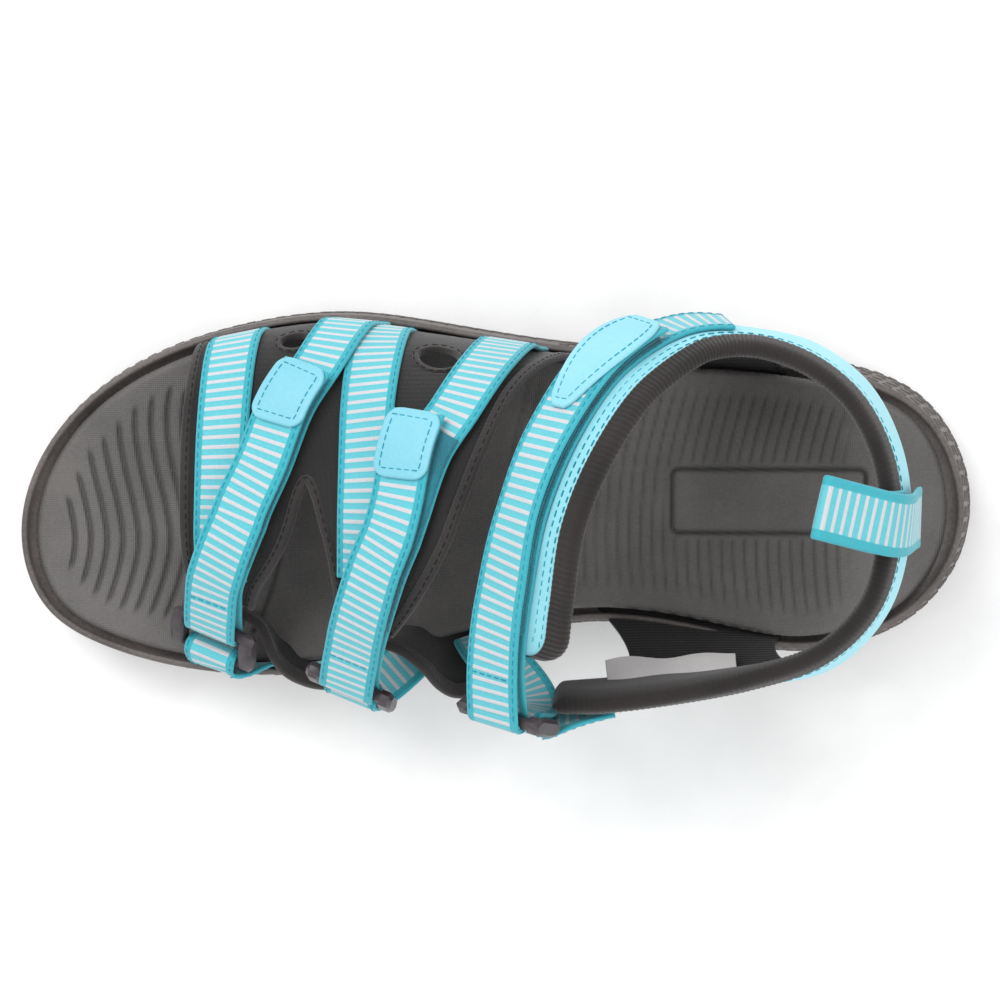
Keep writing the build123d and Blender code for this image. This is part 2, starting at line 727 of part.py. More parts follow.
def wall(feet, heads, thickness):
    """Thin wall between a row of lower points and a row of upper points."""
    with BuildPart() as panel:
        for index, (foot, head) in enumerate(zip(feet, heads)):
            rise = head - foot
            before = feet[max(0, index - 1)] + heads[max(0, index - 1)]
            after = feet[min(len(feet) - 1, index + 1)] + heads[min(len(feet) - 1, index + 1)]
            forward = (after - before).normalized()
            facing = forward.cross(rise).normalized()
            with BuildSketch(Plane(origin=(foot + head) / 2, x_dir=facing, z_dir=facing.cross(rise).normalized())):
                Rectangle(thickness, rise.length)
        loft(ruled=True)
    return panel.part


def spread(first, last, count):
    return [first + (last - first) * index / (count - 1) for index in range(count)]


def quarter(side, foot_span, collar_span):
    """Side panel from the welt up to the collar's lower edge."""
    count = 6
    feet = [welt_point(u, side) + Vector(0, 0, panel_tuck) for u in spread(*foot_span, count)]
    heads = []
    for station in spread(*collar_span, count):
        point, travel, up, out = collar_frame(station)
        heads.append(point - up * (collar_height / 2 + 4 * sewn_gap + quarter_thickness / 2))
    return wall(feet, heads, quarter_thickness)


def gusset(foot_span, heads):
    """Inner wall of stretch cloth between the welt and the straps."""
    feet = [welt_point(u, -1) + Vector(0, welt_groove, gusset_lift) for u in spread(*foot_span, len(heads))]
    return wall(feet, [Vector(length_at(u), across_at(v), z) for u, v, z in heads], gusset_thickness)


for name, side, foot_span, collar_span in (("medial", -1, quarter_medial_foot, quarter_medial_span),
                                           ("lateral", 1, quarter_lateral_foot, quarter_lateral_span)):
    with BuildPart() as panel:
        add(quarter(side, foot_span, collar_span))
    finish(panel, f"quarter_{name}")

with BuildPart() as gusset_front:
    add(gusset(gusset_front_foot, gusset_front_head))
finish(gusset_front, "gusset_front")

with BuildPart() as gusset_rear:
    add(gusset(gusset_rear_foot, gusset_rear_head))
finish(gusset_rear, "gusset_rear")

with BuildPart() as size_label:
    label_low = -layer_half - 2 * sewn_gap - collar_lining_thickness - label_thickness
    add(band(collar_frame, *label_span, label_width, label_low, label_low + label_thickness, shift=-label_drop))
finish(size_label, "size_label")

# ---- Heel pull ----

heel_point, heel_travel, heel_up, heel_out = collar_frame(heel_station)
base_level = layer_half + 2 * sewn_gap + collar_cover_thickness + webbing_thickness / 2
base_height = collar_height - pull_seam
with BuildPart() as heel_pull_base:
    with BuildSketch(Plane(origin=heel_point + heel_out * base_level, x_dir=heel_travel, z_dir=heel_out)):
        Rectangle(pull_width, base_height)
    extrude(amount=webbing_thickness / 2, both=True)
finish(heel_pull_base, "heel_pull_base")

pull_hinge = heel_point + heel_up * (collar_height / 2 + pull_gap / 2 + webbing_thickness + pull_lift)
pull_lean = (pull_direction - heel_travel * heel_travel.dot(pull_direction)).normalized()
with BuildPart() as heel_pull:
    pull_centre = pull_hinge + pull_lean * pull_length / 2
    with BuildSketch(Plane(origin=pull_centre, x_dir=pull_lean, z_dir=heel_travel)):
        SlotOverall(pull_length, pull_gap + 2 * webbing_thickness)
        SlotOverall(pull_length - 2 * webbing_thickness, pull_gap, mode=Mode.SUBTRACT)
    extrude(amount=pull_width / 2, both=True)
finish(heel_pull, "heel_pull")
print("pull hinge", pull_hinge, "axis", heel_travel)
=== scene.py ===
import bpy
import math
import numpy as np
from mathutils import Matrix, Vector, geometry


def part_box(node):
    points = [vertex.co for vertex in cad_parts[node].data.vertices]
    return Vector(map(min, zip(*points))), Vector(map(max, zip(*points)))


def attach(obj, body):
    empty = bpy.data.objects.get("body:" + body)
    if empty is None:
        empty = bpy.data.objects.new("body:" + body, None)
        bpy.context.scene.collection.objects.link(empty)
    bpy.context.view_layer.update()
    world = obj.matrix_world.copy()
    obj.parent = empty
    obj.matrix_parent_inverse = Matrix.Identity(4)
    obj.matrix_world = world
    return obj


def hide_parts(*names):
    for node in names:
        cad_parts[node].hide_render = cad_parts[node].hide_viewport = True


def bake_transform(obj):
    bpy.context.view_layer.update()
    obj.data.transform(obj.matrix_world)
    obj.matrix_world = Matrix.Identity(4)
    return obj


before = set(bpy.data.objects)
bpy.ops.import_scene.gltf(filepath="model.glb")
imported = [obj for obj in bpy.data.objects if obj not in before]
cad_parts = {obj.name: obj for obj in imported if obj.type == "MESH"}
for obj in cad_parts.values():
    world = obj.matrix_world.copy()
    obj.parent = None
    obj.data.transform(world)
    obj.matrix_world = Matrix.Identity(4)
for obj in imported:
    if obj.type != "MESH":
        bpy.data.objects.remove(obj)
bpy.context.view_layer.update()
soleLow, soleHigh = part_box("outsole")
print("frame loaded")

# Lengths below are in millimetres; makeMesh turns them into metres.
# u is a share of the sole's length from the toe, v a share of its half width towards the outer side.

form = {
    "length": 277.0, "width": 106.5, "rim": 2.3, "groove": 2.0, "outsole": 4.0,
    "outer": [(0.03, 0.31), (0.085, 0.62), (0.17, 0.86), (0.25, 0.975), (0.34, 1.025), (0.45, 0.96),
              (0.6, 0.85), (0.75, 0.82), (0.88, 0.735), (0.945, 0.585), (0.985, 0.32)],
    "inner": [(0.03, -0.63), (0.083, -0.81), (0.17, -0.94), (0.27, -0.98), (0.45, -0.84), (0.61, -0.665),
              (0.72, -0.74), (0.82, -0.83), (0.905, -0.74), (0.945, -0.62), (0.985, -0.36)],
    "tips": (-0.2, -0.03),
    "under": [(0.0, 9.0), (0.1, 4.5), (0.2, 1.4), (0.3, 0.0), (0.6, 0.0), (0.93, 0.0), (0.97, 0.7),
              (1.0, 2.5)],
    "rimTop": [(0.0, 25.5), (0.1, 23.5), (0.2, 22.5), (0.35, 22.5), (0.5, 25.0), (0.65, 30.0), (0.8, 33.5),
               (0.9, 34.5), (1.0, 35.5)],
    "footLevel": [(0.0, 24.0), (0.1, 21.5), (0.2, 20.0), (0.3, 20.0), (0.4, 20.5), (0.5, 22.5), (0.6, 26.0),
                  (0.7, 29.0), (0.8, 30.5), (0.9, 31.0), (1.0, 32.0)],
    "edgeRise": [(0.0, 2.0), (0.2, 3.0), (0.4, 4.0), (0.6, 6.0), (0.8, 5.5), (1.0, 4.5)],
    "flare": [(0.0, 0.5), (0.5, 0.8), (0.8, 2.5), (1.0, 5.0)],
    "outerEdgeZ": [(0.14, 25.0), (0.25, 23.8), (0.355, 24.3), (0.46, 27.0), (0.57, 31.0)],
    "crownV": [(0.14, -0.04), (0.25, -0.055), (0.355, -0.095), (0.46, -0.13), (0.57, -0.15)],
    "crownZ": [(0.14, 46.0), (0.25, 54.0), (0.355, 64.0), (0.46, 77.0), (0.57, 92.0)],
    "innerEdgeV": [(0.14, -0.42), (0.25, -0.64), (0.355, -0.86), (0.46, -0.91), (0.57, -0.94)],
    "innerEdgeZ": [(0.14, 33.0), (0.25, 38.0), (0.355, 44.0), (0.46, 53.0), (0.57, 62.0)],
}
routes = {
    "toe": [(0.03, 0.240), (0.2, 0.239), (0.35, 0.239), (0.5, 0.238), (0.72, 0.236)],
    "ball": [(0.03, 0.362), (0.14, 0.349), (0.22, 0.335), (0.3, 0.312), (0.4, 0.291), (0.5, 0.265),
             (0.7, 0.237), (0.85, 0.230), (1.0, 0.2265)],
    "mid": [(0.03, 0.393), (0.15, 0.391), (0.26, 0.390), (0.36, 0.390), (0.45, 0.390), (0.62, 0.388)],
    "instep": [(0.03, 0.526), (0.09, 0.518), (0.17, 0.505), (0.28, 0.481), (0.36, 0.456), (0.46, 0.436),
               (0.58, 0.411), (0.74, 0.388), (0.87, 0.376), (1.0, 0.369)],
    "instepFree": [(0.3, 0.451), (0.36, 0.442), (0.46, 0.432), (0.58, 0.409), (0.74, 0.387),
                   (0.87, 0.376), (1.0, 0.369)],
    "toeHem": [(0.04, 0.199), (0.2, 0.198), (0.35, 0.1965), (0.5, 0.1965), (0.7, 0.197), (0.86, 0.199)],
    "rearHem": [(0.05, 0.568), (0.2, 0.53), (0.33, 0.505), (0.44, 0.483), (0.55, 0.46), (0.68, 0.431),
                (0.78, 0.408)],
    "notch": [(0.262, 0.86), (0.272, 0.74), (0.3, 0.58), (0.327, 0.43), (0.345, 0.5), (0.356, 0.62),
              (0.362, 0.86)],
    "collar": [
        (0.572, -0.98, 61.0, 0.0, -0.10, 1.0), (0.666, -0.93, 61.5, 0.0, -0.05, 1.0),
        (0.760, -0.86, 62.0, 0.0, 0.10, 1.0), (0.833, -0.75, 64.0, -0.15, 0.25, 1.0),
        (0.882, -0.48, 66.0, -0.25, 0.15, 1.0), (0.900, -0.12, 67.0, -0.30, 0.0, 1.0),
        (0.895, 0.24, 67.0, -0.28, -0.08, 1.0), (0.866, 0.56, 66.0, -0.22, -0.18, 1.0),
        (0.818, 0.765, 64.0, -0.10, -0.22, 1.0), (0.760, 0.85, 62.5, 0.0, -0.18, 1.0),
        (0.700, 0.84, 67.0, 0.15, -0.35, 1.0), (0.640, 0.66, 78.0, 0.45, -0.45, 0.8),
        (0.598, 0.34, 88.0, 0.65, -0.25, 0.7), (0.570, -0.04, 92.0, 0.70, 0.0, 0.7),
        (0.554, -0.42, 87.0, 0.76, 0.03, 0.62), (0.545, -0.74, 81.0, 0.82, 0.0, 0.55),
        (0.546, -1.0, 75.0, 0.85, -0.05, 0.5)],
}
form["length"] = (soleHigh.x - soleLow.x) * 1000 + 0.6


def along(table, share):
    keys, values = np.array(table, float).T
    ahead = np.minimum(np.arange(len(keys)) + 1, len(keys) - 1)
    behind = np.maximum(np.arange(len(keys)) - 1, 0)
    slopes = (values[ahead] - values[behind]) / (keys[ahead] - keys[behind])
    share = np.asarray(share, float)
    row = np.clip(np.searchsorted(keys, share, side="right") - 1, 0, len(keys) - 2)
    span = keys[row + 1] - keys[row]
    t = (share - keys[row]) / span
    start = (2 * t**3 - 3 * t**2 + 1) * values[row] + (t**3 - 2 * t**2 + t) * span * slopes[row]
    return start + (3 * t**2 - 2 * t**3) * values[row + 1] + (t**3 - t**2) * span * slopes[row + 1]


def unit(rows):
    return rows / np.linalg.norm(rows, axis=-1, keepdims=True)


def square(rows, other):
    return unit(rows - other * (rows * other).sum(-1, keepdims=True))


def runAlong(points):
    return np.concatenate([[0], np.cumsum(np.linalg.norm(np.diff(points, axis=0), axis=1))])


def sample(at, run, rows):
    return np.stack([np.interp(at, run, rows[:, k]) for k in range(rows.shape[1])], -1)


def smooth(low, high, value):
    t = np.clip((value - low) / (high - low), 0, 1)
    return t * t * (3 - 2 * t)


def lengthAt(u):
    return (u - 0.5) * form["length"]


def shareAt(x):
    return x / form["length"] + 0.5


def edgeY(u, side, inset):
    table = form["outer"] if side > 0 else form["inner"]
    rise = (along(table, u + 0.01) - along(table, u - 0.01)) * form["width"] / 2
    slope = rise / (0.02 * form["length"])
    return along(table, u) * form["width"] / 2 - side * inset * np.sqrt(1 + slope**2)


def footbedInset(u):
    return along(form["flare"], u) + form["rim"] + form["groove"]


def weltPoint(u, side):
    u = np.asarray(u, float)
    y = edgeY(u, side, footbedInset(u) - form["groove"] / 2)
    return np.stack([lengthAt(u), y, along(form["rimTop"], u)], -1)


def footPoint(u, around):
    u, around = np.broadcast_arrays(np.asarray(u, float), np.asarray(around, float))
    half = form["width"] / 2
    yOuter = edgeY(u, 1, footbedInset(u)) + 0.5
    zOuter = along(form["outerEdgeZ"], u)
    yCrown = along(form["crownV"], u) * half
    zCrown = along(form["crownZ"], u)
    yInner = along(form["innerEdgeV"], u) * half
    zInner = along(form["innerEdgeZ"], u)
    outerHalf = around <= 0.5
    t = np.clip(np.where(outerHalf, around * 2, around * 2 - 1), 0, 1)
    ys = [np.where(outerHalf, a, b) for a, b in (
        (yOuter, yCrown), (yOuter, (yCrown + yInner) / 2),
        ((yCrown + yOuter) / 2, yInner - 0.22 * (yInner - yCrown)), (yCrown, yInner))]
    zs = [np.where(outerHalf, a, b) for a, b in (
        (zOuter, zCrown), (zOuter + 0.62 * (zCrown - zOuter), zCrown),
        (zCrown, zInner + 0.42 * (zCrown - zInner)), (zCrown, zInner))]
    weights = ((1 - t)**3, 3 * t * (1 - t)**2, 3 * t**2 * (1 - t), t**3)
    y = sum(w * value for w, value in zip(weights, ys))
    z = sum(w * value for w, value in zip(weights, zs)) + np.minimum(around, 0) * 130
    return np.stack([lengthAt(u), y, z], -1)


def footNormal(u, around):
    around = np.clip(around, 0.002, 0.998)
    girth = footPoint(u, around + 0.001) - footPoint(u, around - 0.001)
    length = footPoint(u + 0.001, around) - footPoint(u - 0.001, around)
    return unit(np.cross(girth, length))


def footRail(route):
    table = routes[route]

    def place(around):
        around = np.asarray(around, float)
        inside = np.clip(around, 0.004, 0.996)
        ahead = footPoint(along(table, inside + 0.004), inside + 0.004)
        behind = footPoint(along(table, inside - 0.004), inside - 0.004)
        out = footNormal(along(table, around), around)
        travel = square(ahead - behind, out)
        return footPoint(along(table, around), around), travel, np.cross(out, travel), out
    return place


def collarRail(station):
    station = np.asarray(station, float)
    rows = routes["collar"]
    last = len(rows) - 1.0

    def column(index, at):
        return along([(k, row[index]) for k, row in enumerate(rows)], at)

    def place(at):
        u, v, z = [column(i, at) for i in (0, 1, 2)]
        return np.stack([lengthAt(u), v * form["width"] / 2, z], -1)
    travel = unit(place(np.minimum(last, station + 0.02)) - place(np.maximum(0, station - 0.02)))
    up = np.stack([column(i, station) for i in (3, 4, 5)], -1)
    up = square(up, travel)
    return place(station), travel, up, np.cross(travel, up)


def ankleRail(station):
    point, travel, up, out = collarRail(station)
    return point - up * 5.0, travel, up, out


def walk(rail, start, distance):
    span = 0.5 if rail is not ankleRail and rail is not collarRail else 5.0
    places = np.linspace(start, start + span * np.sign(distance), 1200)
    points = rail(places)[0]
    run = runAlong(points)
    return float(np.interp(abs(distance), run, places))


def makeMesh(name, points, faces, marks=None, material=None):
    name = name.replace(" ", "_")
    mesh = bpy.data.meshes.new(name)
    mesh.from_pydata((np.asarray(points) / 1000).tolist(), [], [list(map(int, face)) for face in faces])
    for key, values in (marks or {}).items():
        mark = mesh.attributes.new(key, "FLOAT", "POINT")
        mark.data.foreach_set("value", np.asarray(values, np.float32).ravel())
    mesh.validate()
    mesh.shade_smooth()
    obj = bpy.data.objects.new(name, mesh)
    bpy.context.scene.collection.objects.link(obj)
    if material:
        mesh.materials.append(material)
    return obj


def gridFaces(rows, columns, closed=False):
    i, j = np.meshgrid(np.arange(rows - 1), np.arange(columns if closed else columns - 1), indexing="ij")
    a = i * columns + j
    b = (i + 1) * columns + j
    c = (i + 1) * columns + (j + 1) % columns
    d = i * columns + (j + 1) % columns
    return np.stack([a, b, c, d], -1).reshape(-1, 4)


def makePath(centre, wide, step=0.35):
    run = runAlong(centre)
    keep = np.concatenate([[True], np.diff(run) > 1e-6])
    run, centre, wide = run[keep], centre[keep], wide[keep]
    at = np.linspace(0, run[-1], max(6, int(round(run[-1] / step)) + 1))
    centre, wide = [sample(at, run, rows) for rows in (centre, wide)]
    travel = unit(np.gradient(centre, axis=0))
    wide = square(wide, travel)
    return {"centre": centre, "travel": travel, "wide": wide, "out": np.cross(travel, wide), "s": at}


def onPath(path, s, across, lift):
    s = np.asarray(s, float)
    keys = ("centre", "travel", "wide", "out")
    centre, travel, wide, out = [sample(s, path["s"], path[key]) for key in keys]
    across = np.broadcast_to(np.asarray(across, float), s.shape)
    lift = np.broadcast_to(np.asarray(lift, float), s.shape)
    return centre + wide * across[..., None] + out * lift[..., None], travel, wide, out


# Webbing: how the bars and the woven edges stand up.
weave = {
    "across": [-1, -0.99, -0.965, -0.93, -0.89, -0.85, -0.81, -0.755, -0.72, -0.69, -0.4, -0.2],
    "barPitch": 2.8, "barWidth": 1.05, "barReach": 5.6, "barHeight": 0.16, "edgeRound": 0.7,
    "selvedge": (6.4, 6.9, 7.3, 7.9), "selvedgeHeight": 0.07, "cordPitch": 0.9, "cordHeight": 0.03,
}


def barRelief(s, across):
    phase = np.abs((s / weave["barPitch"]) % 1 - 0.5) * weave["barPitch"]
    bar = 1 - smooth(weave["barWidth"] / 2 - 0.15, weave["barWidth"] / 2 + 0.25, phase)
    inside = 1 - smooth(weave["barReach"], weave["barReach"] + 0.4, np.abs(across))
    rises, full, falls, gone = weave["selvedge"]
    selvedge = smooth(rises, full, np.abs(across)) * (1 - smooth(falls, gone, np.abs(across)))
    ridge = weave["cordHeight"] * np.cos(s * 2 * np.pi / weave["cordPitch"]) * selvedge
    return weave["barHeight"] * bar * inside + weave["selvedgeHeight"] * selvedge + ridge


def ribbon(name, path, width, thickness, material, relief=None, shift=0.0):
    half = np.array(weave["across"] + [0] + [-k for k in weave["across"][::-1]])
    n, k = len(path["s"]), len(half)
    width = np.broadcast_to(np.asarray(width, float), n)[:, None]
    thick = np.broadcast_to(np.asarray(thickness, float), n)[:, None]
    across = half[None] * width / 2
    radius = np.minimum(weave["edgeRound"], thick)
    depth = np.clip((np.abs(across) - (width / 2 - radius)) / radius, 0, 1)
    body = thick / 2 * np.sqrt(np.clip(1 - depth**2, 0.02, 1))
    rise = relief(path["s"][:, None], across) if relief else np.zeros((n, k))
    centre = path["centre"][:, None] + path["wide"][:, None] * (across + shift)[..., None]
    top = centre + path["out"][:, None] * (body + rise)[..., None]
    bottom = (centre - path["out"][:, None] * (body + rise * 0.6)[..., None])[:, ::-1]
    ring = np.concatenate([top, bottom], 1)
    faces = gridFaces(n, 2 * k, closed=True).tolist()
    faces.append(list(range(2 * k)))
    faces.append([(n - 1) * 2 * k + j for j in range(2 * k)][::-1])
    ringAcross = np.concatenate([across, across[:, ::-1]], 1)
    ringAlong = np.repeat(path["s"][:, None], 2 * k, 1)
    return makeMesh(name, ring.reshape(-1, 3), faces, {"along": ringAlong, "across": ringAcross}, material)


def closedSheet(name, front, back, material, marks=None):
    rows, columns = front.shape[:2]
    points = np.concatenate([front.reshape(-1, 3), back.reshape(-1, 3)])
    faces = gridFaces(rows, columns)
    count = rows * columns
    border = [i * columns for i in range(rows)] + [(rows - 1) * columns + j for j in range(1, columns)]
    border += [i * columns + columns - 1 for i in range(rows - 2, -1, -1)] + list(range(columns - 2, 0, -1))
    sides = [[b, a, a + count, b + count] for a, b in zip(border, border[1:] + border[:1])]
    everything = faces.tolist() + (faces[:, ::-1] + count).tolist() + sides
    return makeMesh(name, points, everything, marks, material)


def builder(tree):
    def plug(socket, value):
        if isinstance(value, bpy.types.NodeSocket):
            tree.links.new(value, socket)
        else:
            socket.default_value = value

    def node(kind, *values, **named):
        fresh = tree.nodes.new(kind)
        for key, value in named.items():
            if hasattr(fresh, key):
                setattr(fresh, key, value)
            else:
                plug(fresh.inputs[key], value)
        for index, value in enumerate(values):
            plug(fresh.inputs[index], value)
        return fresh.outputs

    def maths(operation, *values):
        return node("ShaderNodeMath", *values, operation=operation)[0]

    def mix(factor, first, second):
        return node("ShaderNodeMix", data_type="RGBA", Factor=factor, A=first, B=second)["Result"]
    return node, maths, mix, plug


def material(name, build):
    made = bpy.data.materials.new(name)
    made.use_nodes = True
    shader = made.node_tree.nodes["Principled BSDF"].inputs
    node, maths, mix, plug = builder(made.node_tree)
    for key, value in build(node, maths, mix).items():
        plug(shader[key], value)
    return made


def colour(red, green, blue):
    return tuple((c / 255 / 12.92) if c / 255 < 0.04045 else ((c / 255 + 0.055) / 1.055) ** 2.4
                 for c in (red, green, blue)) + (1.0,)


def cloth(name, light, dark, roughness, grain, bump, sheen=0.0, blotch=60.0, diamond=0.0, shadeGrooves=False):
    def build(node, maths, mix):
        where = node("ShaderNodeTexCoord")["Object"]
        drift = node("ShaderNodeTexNoise", Vector=where, Scale=blotch, Detail=4.0)["Fac"]
        fine = node("ShaderNodeTexNoise", Vector=where, Scale=grain, Detail=3.0, Roughness=0.65)["Fac"]
        spread = node("ShaderNodeMapRange", Value=maths("MULTIPLY", maths("ADD", drift, fine), 0.5),
                      **{"From Min": 0.38, "From Max": 0.62})["Result"]
        tint = mix(spread, colour(*dark), colour(*light))
        # Painted shade: where the groove shade mark is high, the colour is darkened towards 0.42 of the dark
        # tone.
        if shadeGrooves:
            deep = node("ShaderNodeAttribute", attribute_name="grooveShade")["Fac"]
            tint = mix(deep, tint, colour(*[c * 0.42 for c in dark]))
        height = fine
        if diamond:
            split = node("ShaderNodeSeparateXYZ", where)
            waves = [maths("SINE", maths("MULTIPLY", maths(operation, split["X"], split["Y"]), diamond))
                     for operation in ("ADD", "SUBTRACT")]
            height = maths("MULTIPLY_ADD", maths("MULTIPLY", *waves), 0.5, fine)
        rough = node("ShaderNodeMapRange", Value=fine, **{
            "To Min": max(0.05, roughness - 0.08), "To Max": min(1.0, roughness + 0.08)})["Result"]
        return {"Base Color": tint, "Roughness": rough, "Sheen Weight": sheen, "Specular IOR Level": 0.35,
                "Normal": node("ShaderNodeBump", Strength=bump, Distance=0.0004, Height=height)["Normal"]}
    return material(name, build)


def webbingBuild(ground, pale, edge):
    def build(node, maths, mix):
        lengthwise, crosswise = [node("ShaderNodeAttribute", attribute_name=key)["Fac"]
                                 for key in ("along", "across")]

        def band(value, low, high):
            return node("ShaderNodeMapRange", interpolation_type="SMOOTHSTEP", Value=value,
                        **{"From Min": low, "From Max": high})["Result"]
        between = (weave["barPitch"] - weave["barWidth"]) / 2
        bar = band(maths("PINGPONG", lengthwise, weave["barPitch"] / 2), between - 0.1, between + 0.12)
        inside = band(maths("ABSOLUTE", crosswise), weave["barReach"] + 0.25, weave["barReach"] - 0.1)
        waves = [maths("SINE", maths("MULTIPLY", source, 2 * math.pi / spacing))
                 for source, spacing in ((lengthwise, 0.52), (crosswise, 0.62))]
        where = node("ShaderNodeTexCoord")["Object"]
        fuzz = node("ShaderNodeTexNoise", Vector=where, Scale=1800.0, Detail=3.0)["Fac"]
        tone = maths("MULTIPLY_ADD", maths("MULTIPLY", *waves), 0.22, fuzz)
        groundTone, edgeTone, paleTone = [mix(tone, colour(*[c * shade for c in paint]), colour(*paint))
                                          for paint, shade in ((ground, 0.86), (edge, 0.84), (pale, 0.9))]
        tint = mix(maths("MULTIPLY", bar, inside), mix(inside, edgeTone, groundTone), paleTone)
        return {"Base Color": tint, "Roughness": 0.78, "Sheen Weight": 0.25, "Specular IOR Level": 0.3,
                "Normal": node("ShaderNodeBump", Strength=0.55, Distance=0.0003, Height=tone)["Normal"]}
    return build


webbing = material("webbing", webbingBuild((101, 201, 213), (208, 208, 213), (62, 180, 195)))
tabSkin = cloth("tab synthetic", (126, 194, 211), (118, 187, 204), 0.42, 900.0, 0.12)
ankleSkin = cloth("ankle tab synthetic", (140, 204, 218), (132, 197, 211), 0.42, 900.0, 0.12)
coverCloth = cloth("collar cover", (150, 217, 229), (142, 210, 223), 0.62, 1400.0, 0.25, sheen=0.2)
hookCloth = cloth("hook and loop", (18, 132, 150), (8, 92, 108), 0.95, 2600.0, 1.0, sheen=0.5)
liningCloth = cloth("stretch lining", (30, 28, 28), (20, 18, 18), 0.86, 2200.0, 0.5, sheen=0.25,
                    diamond=9000.0)
hemCloth = cloth("lining hem", (50, 44, 43), (32, 28, 28), 0.86, 2200.0, 0.5, sheen=0.25, diamond=9000.0)
panelCloth = cloth("quarter cloth", (26, 24, 25), (16, 15, 16), 0.88, 2000.0, 0.5, sheen=0.2, diamond=8000.0)
collarLiningCloth = cloth("collar lining", (38, 32, 30), (24, 20, 19), 0.84, 2400.0, 0.5, sheen=0.3)
footFoam = cloth("footbed foam", (104, 101, 99), (88, 86, 85), 0.5, 1500.0, 0.4, diamond=5200.0, shadeGrooves=True)
soleFoam = cloth("midsole foam", (108, 101, 98), (80, 75, 73), 0.48, 1100.0, 0.3)
rubber = cloth("outsole rubber", (58, 55, 54), (40, 38, 38), 0.7, 900.0, 0.5)
ringPlastic = cloth("ring plastic", (76, 70, 74), (58, 53, 57), 0.36, 700.0, 0.15)
labelSatin = cloth("label satin", (226, 222, 222), (212, 209, 210), 0.5, 1600.0, 0.2, diamond=7000.0)
cloth("teal thread", (24, 160, 182), (14, 130, 150), 0.7, 3000.0, 0.4)
cloth("black thread", (20, 18, 18), (10, 9, 9), 0.7, 3000.0, 0.4)
print("materials made")

# Stitches and other small parts are remembered by repeat and made at the end.
stitch = {"length": 1.9, "thickness": 0.42, "pitch": 2.7, "startGap": 1.2, "endGap": 1.0, "vary": 0.15}
repeated = {}


def capsule(name, length, thick, sides=6):
    rows = [(-0.5, 0.0), (-0.46, 0.6), (-0.3, 0.95), (0.3, 0.95), (0.46, 0.6), (0.5, 0.0)]
    angles = np.arange(sides) * 2 * np.pi / sides
    points = [(-length / 2, 0, 0)]
    for x, r in rows[1:-1]:
        points += [(x * length, r * thick / 2 * math.cos(a), r * thick / 2 * math.sin(a)) for a in angles]
    points.append((length / 2, 0, 0))
    faces = [[0, 1 + (j + 1) % sides, 1 + j] for j in range(sides)]
    for i in range(len(rows) - 3):
        base = 1 + i * sides
        faces += [[base + j, base + (j + 1) % sides, base + sides + (j + 1) % sides, base + sides + j]
                  for j in range(sides)]
    base = 1 + (len(rows) - 3) * sides
    faces += [[len(points) - 1, base + j, base + (j + 1) % sides] for j in range(sides)]
    piece = makeMesh(name, points, faces)
    piece.hide_render = True
    return piece


def repeat(key, points, travel, out):
    turns = []
    for forward, up in zip(travel, out):
        side = np.cross(up, forward)
        turn = Matrix((forward, side / np.linalg.norm(side), up)).transposed()
        turns.append(tuple(turn.to_euler()))
    repeated.setdefault(key, []).append((np.asarray(points), np.asarray(turns)))


def repeatTree():
    tree = bpy.data.node_groups.new("repeat", "GeometryNodeTree")
    face = tree.interface
    face.new_socket("Geometry", in_out="INPUT", socket_type="NodeSocketGeometry")
    sockets = {label: face.new_socket(label, in_out="INPUT", socket_type="NodeSocket" + kind).identifier
               for label, kind in (("Part", "Object"), ("Vary", "Float"), ("Material", "Material"))}
    face.new_socket("Geometry", in_out="OUTPUT", socket_type="NodeSocketGeometry")
    node, maths = builder(tree)[:2]
    entry = node("NodeGroupInput")
    turn = node("GeometryNodeInputNamedAttribute", data_type="FLOAT_VECTOR", Name="turn")["Attribute"]
    smallest = maths("SUBTRACT", 1.0, entry["Vary"])
    size = node("FunctionNodeRandomValue", data_type="FLOAT", Seed=5, Min=smallest, Max=1.0)["Value"]
    part = node("GeometryNodeObjectInfo", entry["Part"])["Geometry"]
    placed = node("GeometryNodeInstanceOnPoints", Points=entry["Geometry"], Instance=part, Rotation=turn,
                  Scale=size)["Instances"]
    real = node("GeometryNodeRealizeInstances", placed)["Geometry"]
    painted = node("GeometryNodeSetMaterial", Geometry=real, Material=entry["Material"])["Geometry"]
    node("NodeGroupOutput", painted)
    return tree, sockets


def growRepeated():
    tree, sockets = repeatTree()
    for (label, body, part, paint), batches in repeated.items():
        name = label.replace(" ", "_")
        points = np.concatenate([batch[0] for batch in batches])
        turns = np.concatenate([batch[1] for batch in batches])
        mesh = bpy.data.meshes.new(name)
        mesh.from_pydata((points / 1000).tolist(), [], [])
        turned = mesh.attributes.new("turn", "FLOAT_VECTOR", "POINT")
        turned.data.foreach_set("vector", turns.astype(np.float32).ravel())
        seed = bpy.data.objects.new(name + " places", mesh)
        bpy.context.scene.collection.objects.link(seed)
        growth = seed.modifiers.new("repeat", "NODES")
        growth.node_group = tree
        growth[sockets["Part"]] = bpy.data.objects[part]
        growth[sockets["Vary"]] = stitch["vary"]
        growth[sockets["Material"]] = bpy.data.materials[paint]
        seed.update_tag()
        bpy.context.view_layer.update()
        ready = seed.evaluated_get(bpy.context.evaluated_depsgraph_get())
        result = bpy.data.objects.new(name, bpy.data.meshes.new_from_object(ready))
        bpy.context.scene.collection.objects.link(result)
        bpy.data.objects.remove(seed)
        result.data.shade_smooth()
        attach(result, body)
        print(name, len(points), "repeats")


def stitchLine(body, points, travel, out, pitch=None, thread="teal thread"):
    run = runAlong(points)
    at = np.arange(stitch["startGap"], run[-1] - stitch["endGap"], pitch or stitch["pitch"])
    if len(at) == 0:
        return
    place, forward, facing = [sample(at, run, line) for line in (points, travel, out)]
    forward = unit(forward)
    repeat((f"stitches {thread} {body}", body, "stitch", thread), place, forward, square(facing, forward))


